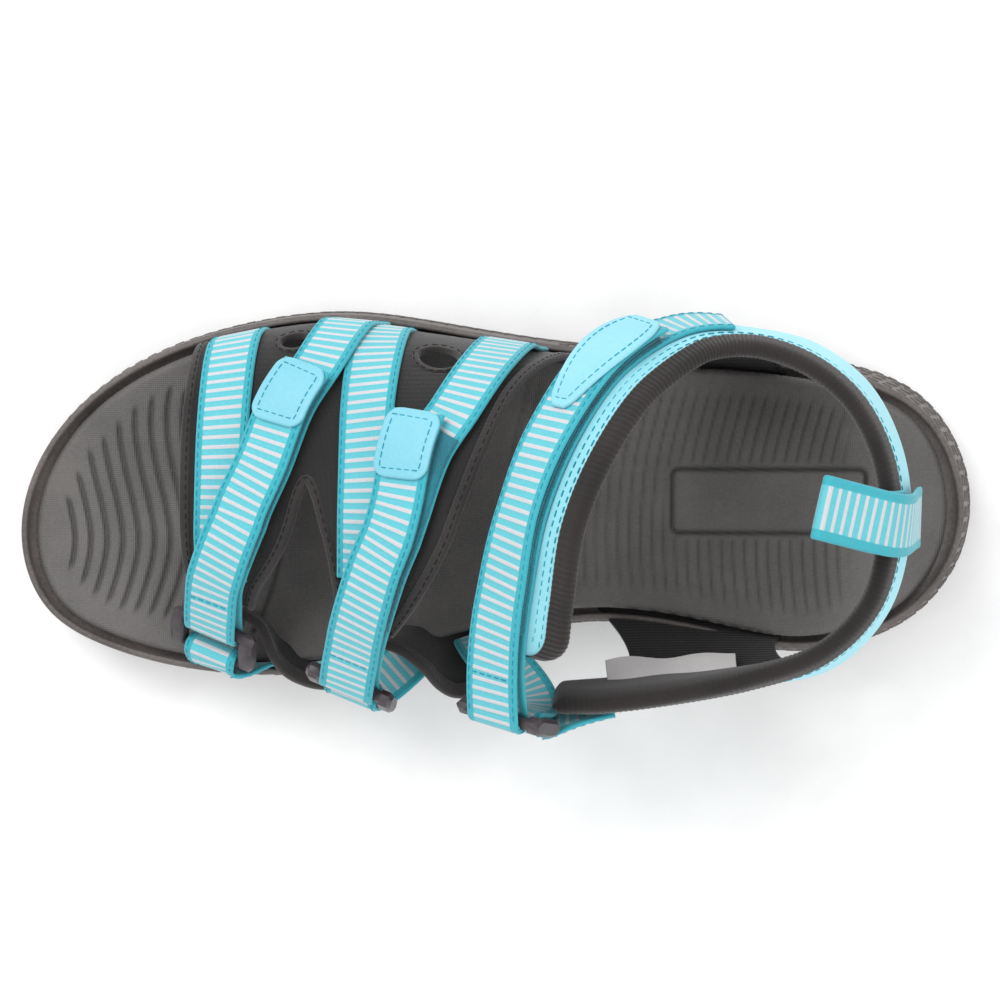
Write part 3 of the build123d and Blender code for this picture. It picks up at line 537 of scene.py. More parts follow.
def stitchPath(body, path, across, lift, first=0.0, last=None, thread="teal thread"):
    s = np.arange(first, last if last is not None else path["s"][-1], 0.5)
    point, travel, wide, out = onPath(path, s, across, lift)
    stitchLine(body, point, travel, out, thread=thread)


capsule("stitch", stitch["length"], stitch["thickness"])

# The sole: rows of points from the tread, up the wall and into the groove beside the footbed.
wall = {"rows": 16, "lineAt": 0.62, "lineDepth": 0.7, "rimRound": 1.0, "grooveDepth": 3.6, "blockPitch": 4.4,
        "blockTilt": 38.0, "blockSink": 0.1, "heelFrom": 20.0,
        "blockRows": ((2, 1), (5, -1), (8, 1), (12, -1), (15, 1)),
        "floorRows": ((4.2, 0.3), (6.5, 1.5)), "lip": ((1.7, -0.05), (2.0, 0.1), (2.25, 0.5), (2.3, 1.2))}


def outline(inset, count=720):
    shares = [(0.0, form["tips"][0])] + form["outer"] + [(1.0, form["tips"][1])] + form["inner"][::-1]
    u = np.array([s[0] for s in shares])
    points = np.stack([lengthAt(u), np.array([s[1] for s in shares]) * form["width"] / 2], 1)
    chord = np.roll(points, -1, 0) - np.roll(points, 1, 0)
    inwards = unit(np.stack([chord[:, 1], -chord[:, 0]], 1))
    moved = points + inwards * np.broadcast_to(inset(u), u.shape)[:, None]
    gap = np.linalg.norm(np.roll(points, -1, 0) - points, axis=1)
    n = len(points)
    system = np.zeros((n, n))
    for i in range(n):
        system[i, i - 1] += gap[i - 1]
        system[i, i] += 2 * (gap[i - 1] + gap[i])
        system[i, (i + 1) % n] += gap[i]
    step = (np.roll(moved, -1, 0) - moved) / gap[:, None]
    bend = np.linalg.solve(system, 6 * (step - np.roll(step, 1, 0)))
    knots = np.concatenate([[0], np.cumsum(gap)])
    heel = knots[len(form["outer"]) + 1]
    half = count // 2
    at = np.concatenate([np.linspace(0, heel, half, endpoint=False),
                         np.linspace(heel, knots[-1], half, endpoint=False)])
    row = np.clip(np.searchsorted(knots, at, side="right") - 1, 0, n - 1)
    b = ((at - knots[row]) / gap[row])[:, None]
    a = 1 - b
    h = gap[row][:, None]
    nxt = (row + 1) % n
    return a * moved[row] + b * moved[nxt] + ((a**3 - a) * bend[row] + (b**3 - b) * bend[nxt]) * h * h / 6


def flare(u):
    return along(form["flare"], u)


def soleRow(inset, height):
    flat = outline(inset)
    return np.column_stack([flat, height(shareAt(flat[:, 0]))])


def bottomZ(u):
    return along(form["under"], u) + form["outsole"]


def topZ(u):
    return along(form["rimTop"], u)


soleRows = [soleRow(lambda u: 2.5 + 0 * u, lambda u: bottomZ(u) - 0.2)]
wallRows = []
for k in range(wall["rows"] + 1):
    share = k / wall["rows"]
    line = wall["lineDepth"] * math.exp(-((share - wall["lineAt"]) / 0.035) ** 2)
    bulge = 0.5 * math.sin(math.pi * share)
    wallRows.append(soleRow(lambda u: 0.35 + flare(u) * share + line - bulge,
                            lambda u: bottomZ(u) * (1 - share) + (topZ(u) - wall["rimRound"]) * share))
soleRows += wallRows
for turn in (30, 60, 90):
    a = math.radians(turn)
    soleRows.append(soleRow(lambda u: 0.35 + flare(u) + wall["rimRound"] * (1 - math.cos(a)),
                            lambda u: topZ(u) - wall["rimRound"] * (1 - math.sin(a))))
groove = [(2.35, wall["grooveDepth"])] + [(a, wall["grooveDepth"] + b) for a, b in wall["floorRows"]]
for inwards, drop in list(wall["lip"]) + groove:
    soleRows.append(soleRow(lambda u: flare(u) + inwards, lambda u: topZ(u) - drop))
soleRows = np.array(soleRows)
rows, columns = soleRows.shape[:2]
faces = gridFaces(rows, columns, closed=True).tolist()
half = columns // 2
for base in (0, (rows - 1) * columns):
    faces += [[base + i, base + i + 1, base + (columns - i - 1) % columns, base + (columns - i) % columns]
              for i in range(1, half - 1)]
    faces.append([base, base + 1, base + columns - 1])
    faces.append([base + half, base + half + 1, base + half - 1])
midsole = makeMesh("midsole foam wall", soleRows.reshape(-1, 3), faces, material=soleFoam)
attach(midsole, "root")
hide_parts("midsole")

blockCorners = [(x * long, y * wide, high) for long, wide, high in ((1.9, 0.75, 0.0), (1.45, 0.4, 0.55))
                for x, y in ((-1, -1), (1, -1), (1, 1), (-1, 1))]
block = makeMesh("wall block", blockCorners, [[3, 2, 1, 0], [4, 5, 6, 7], [0, 1, 5, 4], [1, 2, 6, 5],
                                              [2, 3, 7, 6], [3, 0, 4, 7]])
block.hide_render = True
for index, tilt in wall["blockRows"]:  # the top two rows only go round the heel
    line = wallRows[index]
    tangent = unit(np.roll(line, -1, 0) - np.roll(line, 1, 0))
    climb = unit(wallRows[min(index + 1, len(wallRows) - 1)] - wallRows[index - 1])
    run = runAlong(line)
    at = np.arange(0, run[-1], wall["blockPitch"]) + (tilt + 1) * wall["blockPitch"] / 4
    place, ahead, upwards = [sample(at, run, rowsOf) for rowsOf in (line, tangent, climb)]
    facing = unit(np.cross(ahead, upwards))
    facing *= np.sign((facing[:, :2] * place[:, :2]).sum(1, keepdims=True))
    angle = math.radians(wall["blockTilt"]) * tilt
    forward = ahead * math.cos(angle) + upwards * math.sin(angle)
    forward = square(forward, facing)
    shown = place[:, 0] > (wall["heelFrom"] if index > 10 else -form["length"])
    repeat(("side wall blocks", "root", "wall_block", "midsole foam"),
           (place - facing * wall["blockSink"])[shown], forward[shown], facing[shown])
print("sole made")

# The footbed, with its grooves and a plain recessed frame.
bed = {
    "toeFirst": -122.6, "toePitch": 4.67, "toeDepth": 0.85, "toeWidth": 0.4,
    "toeEnds": [(1.6, -21.6), (8.7, -25.9), (15.1, -29.1), (19.0, -31.5), (23.4, -33.3), (27.6, -34.0),
                (30.8, -35.1), (33.7, -36.0), (33.0, -37.0), (32.0, -38.0), (31.0, -39.0), (30.0, -40.0),
                (28.0, -41.0), (26.0, -41.0)],
    "heelPitch": 3.25, "heelDepth": 0.55, "heelWidth": 0.45, "frame": (51.8, 106.0, -8.6, 9.4),
    "frameWidth": 0.7, "frameDepth": 0.8, "edge": 2.2, "heelFirst": 4.0, "heelRows": 34, "heelLast": 108,
    "toeWave": [(-45.0, -11.0), (-34.6, -6.0), (-22.5, -1.8), (-12.5, 0.0), (-3.3, -1.1), (9.5, -3.9),
                (20.2, -5.3), (30.9, -4.3), (40.0, -1.0)],
    "heelWave": [(-45.0, 3.0), (-20.0, 0.3), (-5.0, 0.0), (10.0, 1.2), (24.0, 4.2), (45.0, 10.0)],
}
edgeLine = outline(footbedInset)
outerLine = edgeLine[:361]
innerLine = np.concatenate([edgeLine[360:], edgeLine[:1]])[::-1]
t = np.linspace(0, 1, 560)
x = edgeLine[0, 0] + 0.15 + (edgeLine[360, 0] - edgeLine[0, 0] - 0.3) * (t - 0.14 * np.sin(2 * np.pi * t))
yHigh = np.interp(x, outerLine[:, 0], outerLine[:, 1])
yLow = np.interp(x, innerLine[:, 0], innerLine[:, 1])
s = np.linspace(-1, 1, 130)
w = s * (1.45 - 0.45 * s**2)
bedX = np.repeat(x[:, None], len(w), 1)
bedY = (yHigh + yLow)[:, None] / 2 + w[None] * (yHigh - yLow)[:, None] / 2
u = np.clip(shareAt(x), 0.03, 0.97)
near = np.clip(shareAt(x), 0.12, 0.88)
highNear = edgeY(near, 1, footbedInset(near))
lowNear = edgeY(near, -1, footbedInset(near))
level = along(form["footLevel"], u)[:, None]
bedZ = level + along(form["edgeRise"], u)[:, None] * (
    (bedY - (highNear + lowNear)[:, None] / 2) / ((highNear - lowNear)[:, None] / 2))**2
away = np.full(bedX.shape, 99.0)
for chunk in range(0, len(edgeLine), 60):
    line = edgeLine[chunk:chunk + 60]
    reach = np.sqrt((bedX[..., None] - line[:, 0])**2 + (bedY[..., None] - line[:, 1])**2).min(-1)
    away = np.minimum(away, reach)
ease = np.clip(1 - away / bed["edge"], 0, 1)
bedZ -= bed["edge"] * (1 - np.sqrt(np.clip(1 - ease**2, 0, 1)))


carve = np.zeros(bedX.shape)
for index, (top, bottom) in enumerate(bed["toeEnds"]):
    centre = bed["toeFirst"] + index * bed["toePitch"] + along(bed["toeWave"], bedY)
    fade = smooth(bottom - 0.5, bottom + 3.5, bedY) * (1 - smooth(top - 3.5, top + 0.5, bedY))
    away = bedX - centre
    step = np.exp(-(np.minimum(away, 0) / bed["toeWidth"])**2) * np.exp(-(np.maximum(away, 0) / 1.1)**2)
    carve += bed["toeDepth"] * fade * step
left, right, low, high = bed["frame"]
dx = np.abs(bedX - (left + right) / 2) - (right - left) / 2 + 2.0
dy = np.abs(bedY - (low + high) / 2) - (high - low) / 2 + 2.0
edgeAway = np.hypot(np.maximum(dx, 0), np.maximum(dy, 0)) + np.minimum(np.maximum(dx, dy), 0) - 2.0
outside = smooth(1.2, 2.4, edgeAway)
for index in range(bed["heelRows"]):
    centre = bed["heelFirst"] + index * bed["heelPitch"] + along(bed["heelWave"], bedY)
    if centre.min() > bed["heelLast"]:
        break
    fade = smooth(4.0, 9.0, yHigh[:, None] - bedY) * smooth(4.0, 9.0, bedY - yLow[:, None])
    fade = fade * (1 - smooth(96.0, 104.0, bedX)) * outside * (0.5 + 0.5 * smooth(10.0, 45.0, bedX))
    carve += bed["heelDepth"] * fade * np.exp(-((bedX - centre) / bed["heelWidth"])**2)
# Painted shade: the toe grooves, heel lines and frame line are marked here, and the footbed's colour is
# darkened along them on top of their carved depth.
grooveShade = np.clip(carve, 0, 0.6) * 0.9
carve += bed["frameDepth"] * np.exp(-(edgeAway / bed["frameWidth"])**2)
grooveShade += 1.0 * np.exp(-(edgeAway / bed["frameWidth"])**2)
carve += 0.16 * (1 - smooth(-1.0, -0.4, edgeAway))
bedZ -= carve
front = np.stack([bedX, bedY, bedZ], -1)
back = front.copy()
back[..., 2] = np.minimum(level - 5.5, bedZ - 2)
marks = {"grooveShade": np.concatenate([grooveShade.ravel(), grooveShade.ravel() * 0])}
footbed = closedSheet("footbed", front, back, footFoam, marks)
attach(footbed, "root")
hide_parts("footbed", "lasting_board")
print("footbed made")

# The stretch lining over the foot, cut flat and laid over its form.
cover = {"thickness": 1.0, "spacing": 1.5, "girth": 130.0, "hem": 3.4, "hemThickness": 2.0, "hemStitch": 0.54}
openings = [(0.305, 0.13, 4.5, 3.6), (0.455, 0.15, 6.0, 4.6)]


def flatPoint(u, around):
    return np.stack([lengthAt(np.asarray(u, float)), np.asarray(around, float) * cover["girth"]], -1)


def curve(points, count):
    points = np.asarray(points, float)
    run = runAlong(points)
    at = np.linspace(0, run[-1], count)
    return np.stack([along(list(zip(run, points[:, k])), at) for k in range(points.shape[1])], 1)


spread = np.linspace(-0.03, 0.86, 70)
toeEdge = flatPoint(along(routes["toeHem"], spread), spread)
notchLine = curve(flatPoint(*np.array(routes["notch"]).T), 90)
spread = np.linspace(0.78, -0.03, 70)
rearEdge = flatPoint(along(routes["rearHem"], spread), spread)
border = np.concatenate([toeEdge[:-1], notchLine, rearEdge, curve([rearEdge[-1], toeEdge[0]], 60)[1:-1]])
rims = []
for u, around, long, wide in openings:
    angle = np.linspace(0, 2 * np.pi, 40, endpoint=False)
    rims.append(flatPoint(u, around) + np.stack([long * np.cos(angle), wide * np.sin(angle)], 1))
low, high = border.min(0), border.max(0)
gridX, gridY = np.meshgrid(*[np.arange(low[k], high[k], cover["spacing"]) for k in (0, 1)])
gridX[1::2] += cover["spacing"] / 2
inner = np.stack([gridX.ravel(), gridY.ravel()], 1)


def within(points, line):
    a, b = line, np.roll(line, -1, 0)
    crossing = (a[None, :, 1] > points[:, None, 1]) != (b[None, :, 1] > points[:, None, 1])
    at = (b[None, :, 0] - a[None, :, 0]) * (points[:, None, 1] - a[None, :, 1]) / (
        b[None, :, 1] - a[None, :, 1] + 1e-12) + a[None, :, 0]
    return ((crossing & (points[:, None, 0] < at)).sum(1) % 2) == 1


clear = np.min([np.linalg.norm(inner[:, None] - line[None], axis=2).min(1)
                for line in [border] + rims], axis=0)
inner = inner[within(inner, border) & (clear > cover["spacing"] * 0.6)]
for line in rims:
    inner = inner[~within(inner, line)]
corners = np.concatenate([border] + rims + [inner])
loops = []
start = 0
for line in [border] + rims:
    loops.append(list(range(start, start + len(line))))
    start += len(line)
edges = [(loop[i], loop[(i + 1) % len(loop)]) for loop in loops for i in range(len(loop))]
cut = geometry.delaunay_2d_cdt([Vector(p) for p in corners.tolist()], edges, [], 0, 1e-5)
flat = np.array([tuple(p) for p in cut[0]])
faces = np.array(cut[2])
middle = flat[faces].mean(1)
keep = within(middle, border)
for line in rims:
    keep &= ~within(middle, line)
faces = faces[keep]
used = np.unique(faces)
renumber = np.full(len(flat), -1)
renumber[used] = np.arange(len(used))
flat, faces = flat[used], renumber[faces]
uFlat, aroundFlat = shareAt(flat[:, 0]), flat[:, 1] / cover["girth"]
base = footPoint(uFlat, aroundFlat)
out = footNormal(uFlat, aroundFlat)
out = np.where(aroundFlat[:, None] < 0.004, np.array([[0, 1.0, 0]]), out)
ripple = 0.12 * np.sin(flat[:, :1] * 0.35) * np.sin(flat[:, 1:] * 0.27)
top = base + out * (cover["thickness"] + ripple)
bottom = base + out * ripple
count = len(base)
edgeCount = {}
for face in faces.tolist():
    for pair in zip(face, face[1:] + face[:1]):
        edgeCount.setdefault(tuple(sorted(pair)), []).append(pair)
rimFaces = [[b, a, a + count, b + count] for pairs in edgeCount.values() if len(pairs) == 1 for a, b in pairs]
lining = makeMesh("vamp lining", np.concatenate([top, bottom]),
                  faces.tolist() + (faces[:, ::-1] + count).tolist() + rimFaces, material=liningCloth)
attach(lining, "root")
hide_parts("vamp_lining")
first, second, third = [top[faces[:, k]] for k in range(3)]


def surfacePath(us, arounds, level, step=0.7):
    us, arounds = np.asarray(us, float), np.asarray(arounds, float)
    out = footNormal(us, arounds)
    centre = footPoint(us, arounds) + out * level
    travel = np.gradient(centre, axis=0)
    return makePath(centre, np.cross(out, travel), step)


def hem(name, line, shift, width=None, node=None):
    path = surfacePath(shareAt(line[:, 0]), line[:, 1] / cover["girth"], cover["thickness"] / 2)
    made = ribbon(name, path, width or cover["hem"], cover["hemThickness"], hemCloth, shift=shift)
    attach(made, "root")
    if node:
        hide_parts(node)
    stitchPath("root", path, shift + cover["hemStitch"] * np.sign(shift), cover["hemThickness"] / 2 + 0.02,
               thread="black thread")
    return made


hems = [hem("toe hem", toeEdge[3:], 0.6, node="vamp_toe_binding"),
        hem("rear hem", rearEdge[:-3], -0.6, node="vamp_rear_binding"),
        hem("notch hem", notchLine, 0.5, 3.0)]
for index, line in enumerate(rims):
    hems.append(hem(f"opening hem {index + 1}", np.concatenate([line, line[:2]]), 0.6, 2.2))

# Webbing straps: heights above the lining, and what each closure holds.
strap = {
    "width": 16.0, "thickness": 1.2, "overlay": 1.8, "fixed": 3.4, "loop": 4.5, "hook": 5.6, "free": 6.7,
    "tab": 7.9, "barLevel": 5.4, "barRadius": 1.7, "reach": 11.1, "wrap": 2.75, "innerWrap": 2.1,
    "stitchAt": 7.0, "crossAt": 13.0, "tapeWidth": 15.4, "tapeThickness": 0.95, "anchorWrap": 2.6,
}
tab = {
    "long": 17.0, "wide": 16.8, "corner": 4.2, "leafLong": 34.0, "thickness": 1.25, "edge": 0.8, "inset": 2.3,
    "leaf": [(0, 9.0), (2.0, 13.2), (6.0, 16.4), (13.0, 17.2), (20.0, 15.2), (27.0, 11.4), (32.0, 7.6),
             (34.5, 3.0)],
}
ring = {
    "sides": [(8.8, 0.75), (9.4, 0.0), (11.9, 0.0), (13.0, 0.95)], "long": 7.25, "thick": 2.25, "facet": 1.5,
    "barEnds": (-10.0, -4.0, 4.0, 10.0), "barSides": 20, "bevel": 0.3,
}
closures = {
    "ball": {"fixed": "ball", "free": "ball", "start": 0.03, "tab": 0.235, "loop": 0.255, "end": 1.0,
             "hang": (0.10, -0.80, -0.60), "legs": (0.205, 0.262)},
    "instep": {"fixed": "instep", "free": "instepFree", "start": 0.03, "tab": 0.305, "loop": 0.325,
               "end": 1.0, "hang": (0.12, -0.33, -0.93), "legs": (0.335, 0.435)},
    "ankle": {"fixed": None, "free": None, "start": 9.3, "tab": 10.35, "loop": 10.45, "end": 16.0,
              "hang": (0.49, -0.20, -0.85), "legs": (0.487, None)},
}


def railPath(rail, start, end, level, before=(), after=(), count=260):
    at = np.linspace(start, end, count)
    point, travel, wide, out = rail(at)
    run = runAlong(point)
    lift = level(run, run[-1])
    centre = point + out * np.asarray(lift)[:, None]
    wides = [w for _, w in before] + list(wide) + [w for _, w in after]
    centres = [c for c, _ in before] + list(centre) + [c for c, _ in after]
    return makePath(np.array(centres), np.array(wides))


def sewnStart(rail, start, level):
    point, travel, wide, out = rail(np.array([0.0, start / 2]))
    sink = point[0] + out[0] * level * 0.45
    return [(sink - np.array([0, 0, 5.0]), wide[0]), (sink, wide[0])]


def stitchEdges(body, path, **span):
    for side in (-1, 1):
        stitchPath(body, path, side * strap["stitchAt"], strap["thickness"] / 2 + 0.1, **span)


for route in ("toe", "mid"):
    rail = footRail(route)
    table = routes[route]

    def overlayLevel(run, last):
        return strap["overlay"] * (0.6 + 0.4 * smooth(0, 8, run)) + 0.1 * np.sin(run * 0.21)
    path = railPath(rail, table[0][0], table[-1][0], overlayLevel,
                    before=sewnStart(rail, table[0][0], strap["overlay"]))
    made = ribbon(f"{route} strap", path, strap["width"], strap["thickness"], webbing, barRelief)
    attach(made, "root")
    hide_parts(f"strap_{route}")
    stitchEdges("root", path)


def ringFrame(name):
    facts = closures[name]
    rail = footRail(facts["free"]) if facts["free"] else ankleRail
    point, travel, wide, out = [row[0] for row in rail(np.array([facts["end"]]))]
    hang = np.array(facts["hang"])
    hang = square(hang, wide)
    return rail, point, travel, wide, out, point + out * strap["barLevel"], hang


def around(centre, first, second, radius, start, end, wide, count=40):
    angles = np.radians(np.linspace(start, end, count))
    return [(centre + radius * (math.cos(a) * first + math.sin(a) * second), wide) for a in angles]


def soleFoot(u):
    point = weltPoint(u, -1) + np.array([0, -0.2, -2.2])
    ahead = unit(weltPoint(u + 0.02, -1) - weltPoint(u - 0.02, -1))
    return point, ahead


def bend(start, startWay, end, endWay, startWide, endWide, count=60):
    reach = np.linalg.norm(end - start) * 0.42
    t = np.linspace(0, 1, count)[:, None]
    points = ((1 - t)**3 * start + 3 * t * (1 - t)**2 * (start + startWay * reach)
              + 3 * t**2 * (1 - t) * (end - endWay * reach) + t**3 * end)
    share = t * t * (3 - 2 * t)
    return list(zip(points, unit(startWide * (1 - share) + endWide * share)))


for name, facts in closures.items():
    rail, point, travel, wide, out, bar, hang = ringFrame(name)
    ringBody, strapBody = f"ring_{name}", f"strap_{name}"
    fixedRail = footRail(facts["fixed"]) if facts["fixed"] else ankleRail
    across = np.cross(hang, wide)

    # The fixed strap goes under the ring's bar and around it.
    wrap = around(bar, out, travel, strap["innerWrap"], 180, 0, wide)
    before = sewnStart(fixedRail, facts["start"], strap["fixed"]) if facts["fixed"] else ()
    stop = walk(fixedRail, facts["end"], -2.0)
    low = strap["barLevel"] - strap["innerWrap"]

    def fixedLevel(run, last):
        level = strap["fixed"] + (low - strap["fixed"]) * smooth(last - 12, last, run)
        return level * (0.5 + 0.5 * smooth(0, 9, run) if facts["fixed"] else 1)
    path = railPath(fixedRail, facts["start"], stop, fixedLevel, before=before, after=wrap)
    turnStart = path["s"][-1] - math.pi * strap["innerWrap"] - 3
    thin = strap["thickness"] - 0.6 * smooth(turnStart - 3, turnStart + 2, path["s"])
    made = ribbon(f"{name} fixed strap", path, strap["width"], thin, webbing, barRelief)
    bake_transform(made)
    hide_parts(f"strap_{name}_fixed")
    stitchEdges("root", path, last=path["s"][-1] - 40)

    # The free end lies over it, from its tab to its turn around the bar.
    turn = around(bar, out, travel, strap["wrap"], 0, 122, wide)

    def freeLevel(run, last):
        rise = strap["barLevel"] + strap["wrap"] - strap["free"]
        return strap["free"] + 0.12 * np.sin(run * 0.16) + rise * smooth(last - 18, last, run)
    path = railPath(rail, facts["tab"], facts["end"], freeLevel, after=turn)
    thin = strap["thickness"] - 0.3 * smooth(path["s"][-1] - 12, path["s"][-1] - 7, path["s"])
    made = ribbon(f"{name} free strap", path, strap["width"], thin, webbing, barRelief)
    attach(made, strapBody)
    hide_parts(f"strap_{name}_free")
    stitchEdges(strapBody, path, first=14, last=path["s"][-1] - 6)
    rowAt = path["s"][-1] - strap["crossAt"] - 6
    rowAcross = np.arange(-6.2, 6.3, 0.4)
    pick = onPath(path, np.full(rowAcross.shape, rowAt), rowAcross, strap["thickness"] / 2 + 0.16)
    stitchLine(strapBody, pick[0], pick[2], pick[3], pitch=2.3)

    # Hook and loop tapes between the two layers.
    tapeEnd = walk(rail, facts["end"], -26)
    for tape, body, level, first in (("loop_tape", "root", strap["loop"], facts["loop"]),
                                     ("hook_tape", strapBody, strap["hook"], walk(rail, facts["tab"], 3))):
        tapeRail = fixedRail if tape == "loop_tape" else rail
        tapePath = railPath(tapeRail, first, tapeEnd, lambda run, last: level + 0 * run)
        made = ribbon(f"{name} {tape}", tapePath, strap["tapeWidth"], strap["tapeThickness"], hookCloth)
        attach(made, body)
        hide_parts(f"{tape}_{name}")
        for side in (-1, 1):
            s = np.arange(0.3, tapePath["s"][-1], 0.16)
            sway = np.sin(s * 37.0) * 0.5 + np.sin(s * 91.0) * 0.5
            place, ahead, wideways, facing = onPath(tapePath, s, side * (7.55 + 0.12 * np.sin(s * 23.0)),
                                                    0.32 * sway)
            stray = ahead * sway[:, None] * 0.7 + facing * np.cos(s * 53.0)[:, None] * 0.6
            lean = unit(wideways * side + stray)
            repeat((f"tape fibres {body}", body, "fibre", "hook and loop"), place, lean,
                   unit(np.cross(lean, ahead)))

    # The tab sewn on the free end.
    leaf = name == "ankle"
    tabEnd = walk(rail, facts["tab"], tab["leafLong"] if leaf else tab["long"])
    tabPath = railPath(rail, facts["tab"], tabEnd, lambda run, last: strap["tab"] + 0 * run)
    s, last = tabPath["s"], tabPath["s"][-1]
    if leaf:
        width = along(tab["leaf"], s * tab["leafLong"] / last)
    else:
        near = np.clip(1 - np.minimum(s, last - s) / tab["corner"], 0, 1)
        width = tab["wide"] - 2 * tab["corner"] * (1 - np.sqrt(np.clip(1 - near**2, 0, 1)))
    edge = np.clip(1 - np.minimum(s, last - s) / tab["edge"], 0, 1)
    thin = tab["thickness"] * (0.35 + 0.65 * np.sqrt(1 - edge**2))
    made = ribbon(f"{name} tab", tabPath, width, thin, ankleSkin if leaf else tabSkin,
                  lambda s, across: 0.14 * np.exp(-(across / 6.0) ** 4) - 0.05)
    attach(made, strapBody)
    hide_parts(f"tab_{name}")
    np.trapz(width, s) / 1e6
    kept = (s > tab["inset"]) & (s < last - tab["inset"])
    sewnS = np.concatenate([s[kept], s[kept][::-1]])
    sewnW = np.concatenate([width[kept], -width[kept][::-1]]) / 2
    sewnW -= tab["inset"] * np.repeat([1, -1], kept.sum())
    pick = onPath(tabPath, np.append(sewnS, sewnS[0]), np.append(sewnW, sewnW[0]), 0.66)
    stitchLine(strapBody, pick[0], np.gradient(pick[0], axis=0), pick[3], pitch=2.35)

    # The ring: two round bars between two faceted sides.
    points, ringFaces = [], []

    def loft(sections):
        base = len(points)
        size = len(sections[0])
        for section in sections:
            points.extend(section)
        ringFaces.extend((gridFaces(len(sections), size, closed=True) + base).tolist())
        ringFaces.append(list(range(base, base + size))[::-1])
        ringFaces.append([base + (len(sections) - 1) * size + j for j in range(size)])

    middle = bar + hang * strap["reach"] / 2
    for side in (-1, 1):
        sections = []
        for offset, shrink in ring["sides"]:
            long, thick, facet = ring["long"] - shrink, ring["thick"] - shrink * 0.85, ring["facet"]
            flatEnd = long - facet * 1.4
            corners = [(long, thick - facet), (flatEnd, thick), (0.6, thick + 0.35), (-flatEnd, thick),
                       (-long, thick - facet), (-long, facet - thick), (-flatEnd, -thick), (flatEnd, -thick),
                       (long, facet - thick)]
            sections.append([middle + wide * side * offset + hang * a + across * b for a, b in corners])
        loft(sections if side > 0 else sections[::-1])
    for reach in (0.0, strap["reach"]):
        angles = np.arange(ring["barSides"]) * 2 * np.pi / ring["barSides"]
        rim = [bar + hang * (reach + strap["barRadius"] * math.cos(a))
               + across * strap["barRadius"] * math.sin(a) for a in angles]
        loft([[spot + wide * offset for spot in rim] for offset in ring["barEnds"]])
    made = makeMesh(f"{name} ring", points, ringFaces, material=ringPlastic)
    edges = made.modifiers.new("edges", "BEVEL")
    edges.width = ring["bevel"] / 1000
    edges.segments = 3
    edges.limit_method = "ANGLE"
    bpy.context.view_layer.update()
    ready = made.evaluated_get(bpy.context.evaluated_depsgraph_get())
    made.data = bpy.data.meshes.new_from_object(ready)
    made.modifiers.clear()
    made.data.shade_smooth()
    made.data.set_sharp_from_angle(angle=math.radians(28))
    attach(made, ringBody)
    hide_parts(ringBody)

    # Webbing from the sole through the ring and back down.
    anchorBar = bar + hang * strap["reach"]
    radius = strap["anchorWrap"]
    frontFoot, frontWide = soleFoot(facts["legs"][0])
    if facts["legs"][1] is None:
        collarPoint, collarTravel, collarUp, collarOut = [row[0] for row in collarRail(np.array([0.55]))]
        rearFoot, rearWide = collarPoint + collarOut * 4.2, collarUp
    else:
        rearFoot, rearWide = soleFoot(facts["legs"][1])
    frontTop, rearTop = anchorBar - across * radius, anchorBar + across * radius
    leave = unit(frontTop - frontFoot) * 0.6 + np.array([0, 0, 0.4])
    up = bend(frontFoot, leave, frontTop, -hang, frontWide, wide)
    over = around(anchorBar, across, -hang, radius, 180, 0, wide)
    down = bend(rearTop, hang, rearFoot, unit(rearFoot - rearTop), wide, rearWide)
    pairs = up[:-1] + over + down[1:]
    path = makePath(*[np.array(rows) for rows in zip(*pairs)])
    made = ribbon(f"{name} anchor webbing", path, strap["width"], strap["thickness"], webbing, barRelief)
    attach(made, "root")
    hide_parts(f"anchor_{name}")
    stitchEdges("root", path)
capsule("fibre", 0.9, 0.11, sides=4)
print("straps made")

# The padded collar and its lining.
collar = {"end": 14.85, "half": 13.0, "thick": 2.7, "liningFrom": 8.6, "ribPitch": 1.5, "ribHeight": 0.2,
          "corner": 10.0}
stations = np.linspace(0, collar["end"], 760)
point, travel, up, out = collarRail(stations)
run = runAlong(point)
ends = np.minimum(run, run[-1] - run)
cap = np.sqrt(np.clip(1 - np.clip(1 - ends / 3.0, 0, 1)**2, 0.15, 1))
left = run[-1] - run
corner = collar["corner"] * (1 - np.sqrt(np.clip(1 - np.clip(1 - left / collar["corner"], 0, 1)**2, 0, 1)))
corner += 4.0 * (1 - smooth(0, 14, run))


def sweep(a, b, scale):
    a, b = np.broadcast_arrays(np.asarray(a, float), np.asarray(b, float))
    a = a - corner[:, None] * smooth(-9, 9, a)
    return (point[:, None] + up[:, None] * (a * (0.9 + 0.1 * scale[:, None]))[..., None]
            + out[:, None] * (b * scale[:, None])[..., None])


angle = np.linspace(0, 2 * np.pi, 44, endpoint=False)
padA = collar["half"] * np.sign(np.cos(angle)) * np.abs(np.cos(angle))**0.62
padB = collar["thick"] * np.sign(np.sin(angle)) * np.abs(np.sin(angle))**0.7
puff = 1 + 0.06 * np.sin(run * 0.09)[:, None]
rows = sweep(padA[None] + 0 * puff, padB[None] * puff, cap)[::2]
faces = gridFaces(len(rows), len(angle), closed=True)[:, ::-1].tolist()
faces.append(list(range(len(angle))))
faces.append([(len(rows) - 1) * len(angle) + j for j in range(len(angle))][::-1])
pad = makeMesh("collar pad", rows.reshape(-1, 3), faces, material=coverCloth)
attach(pad, "root")
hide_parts("collar_cover", "collar_foam")

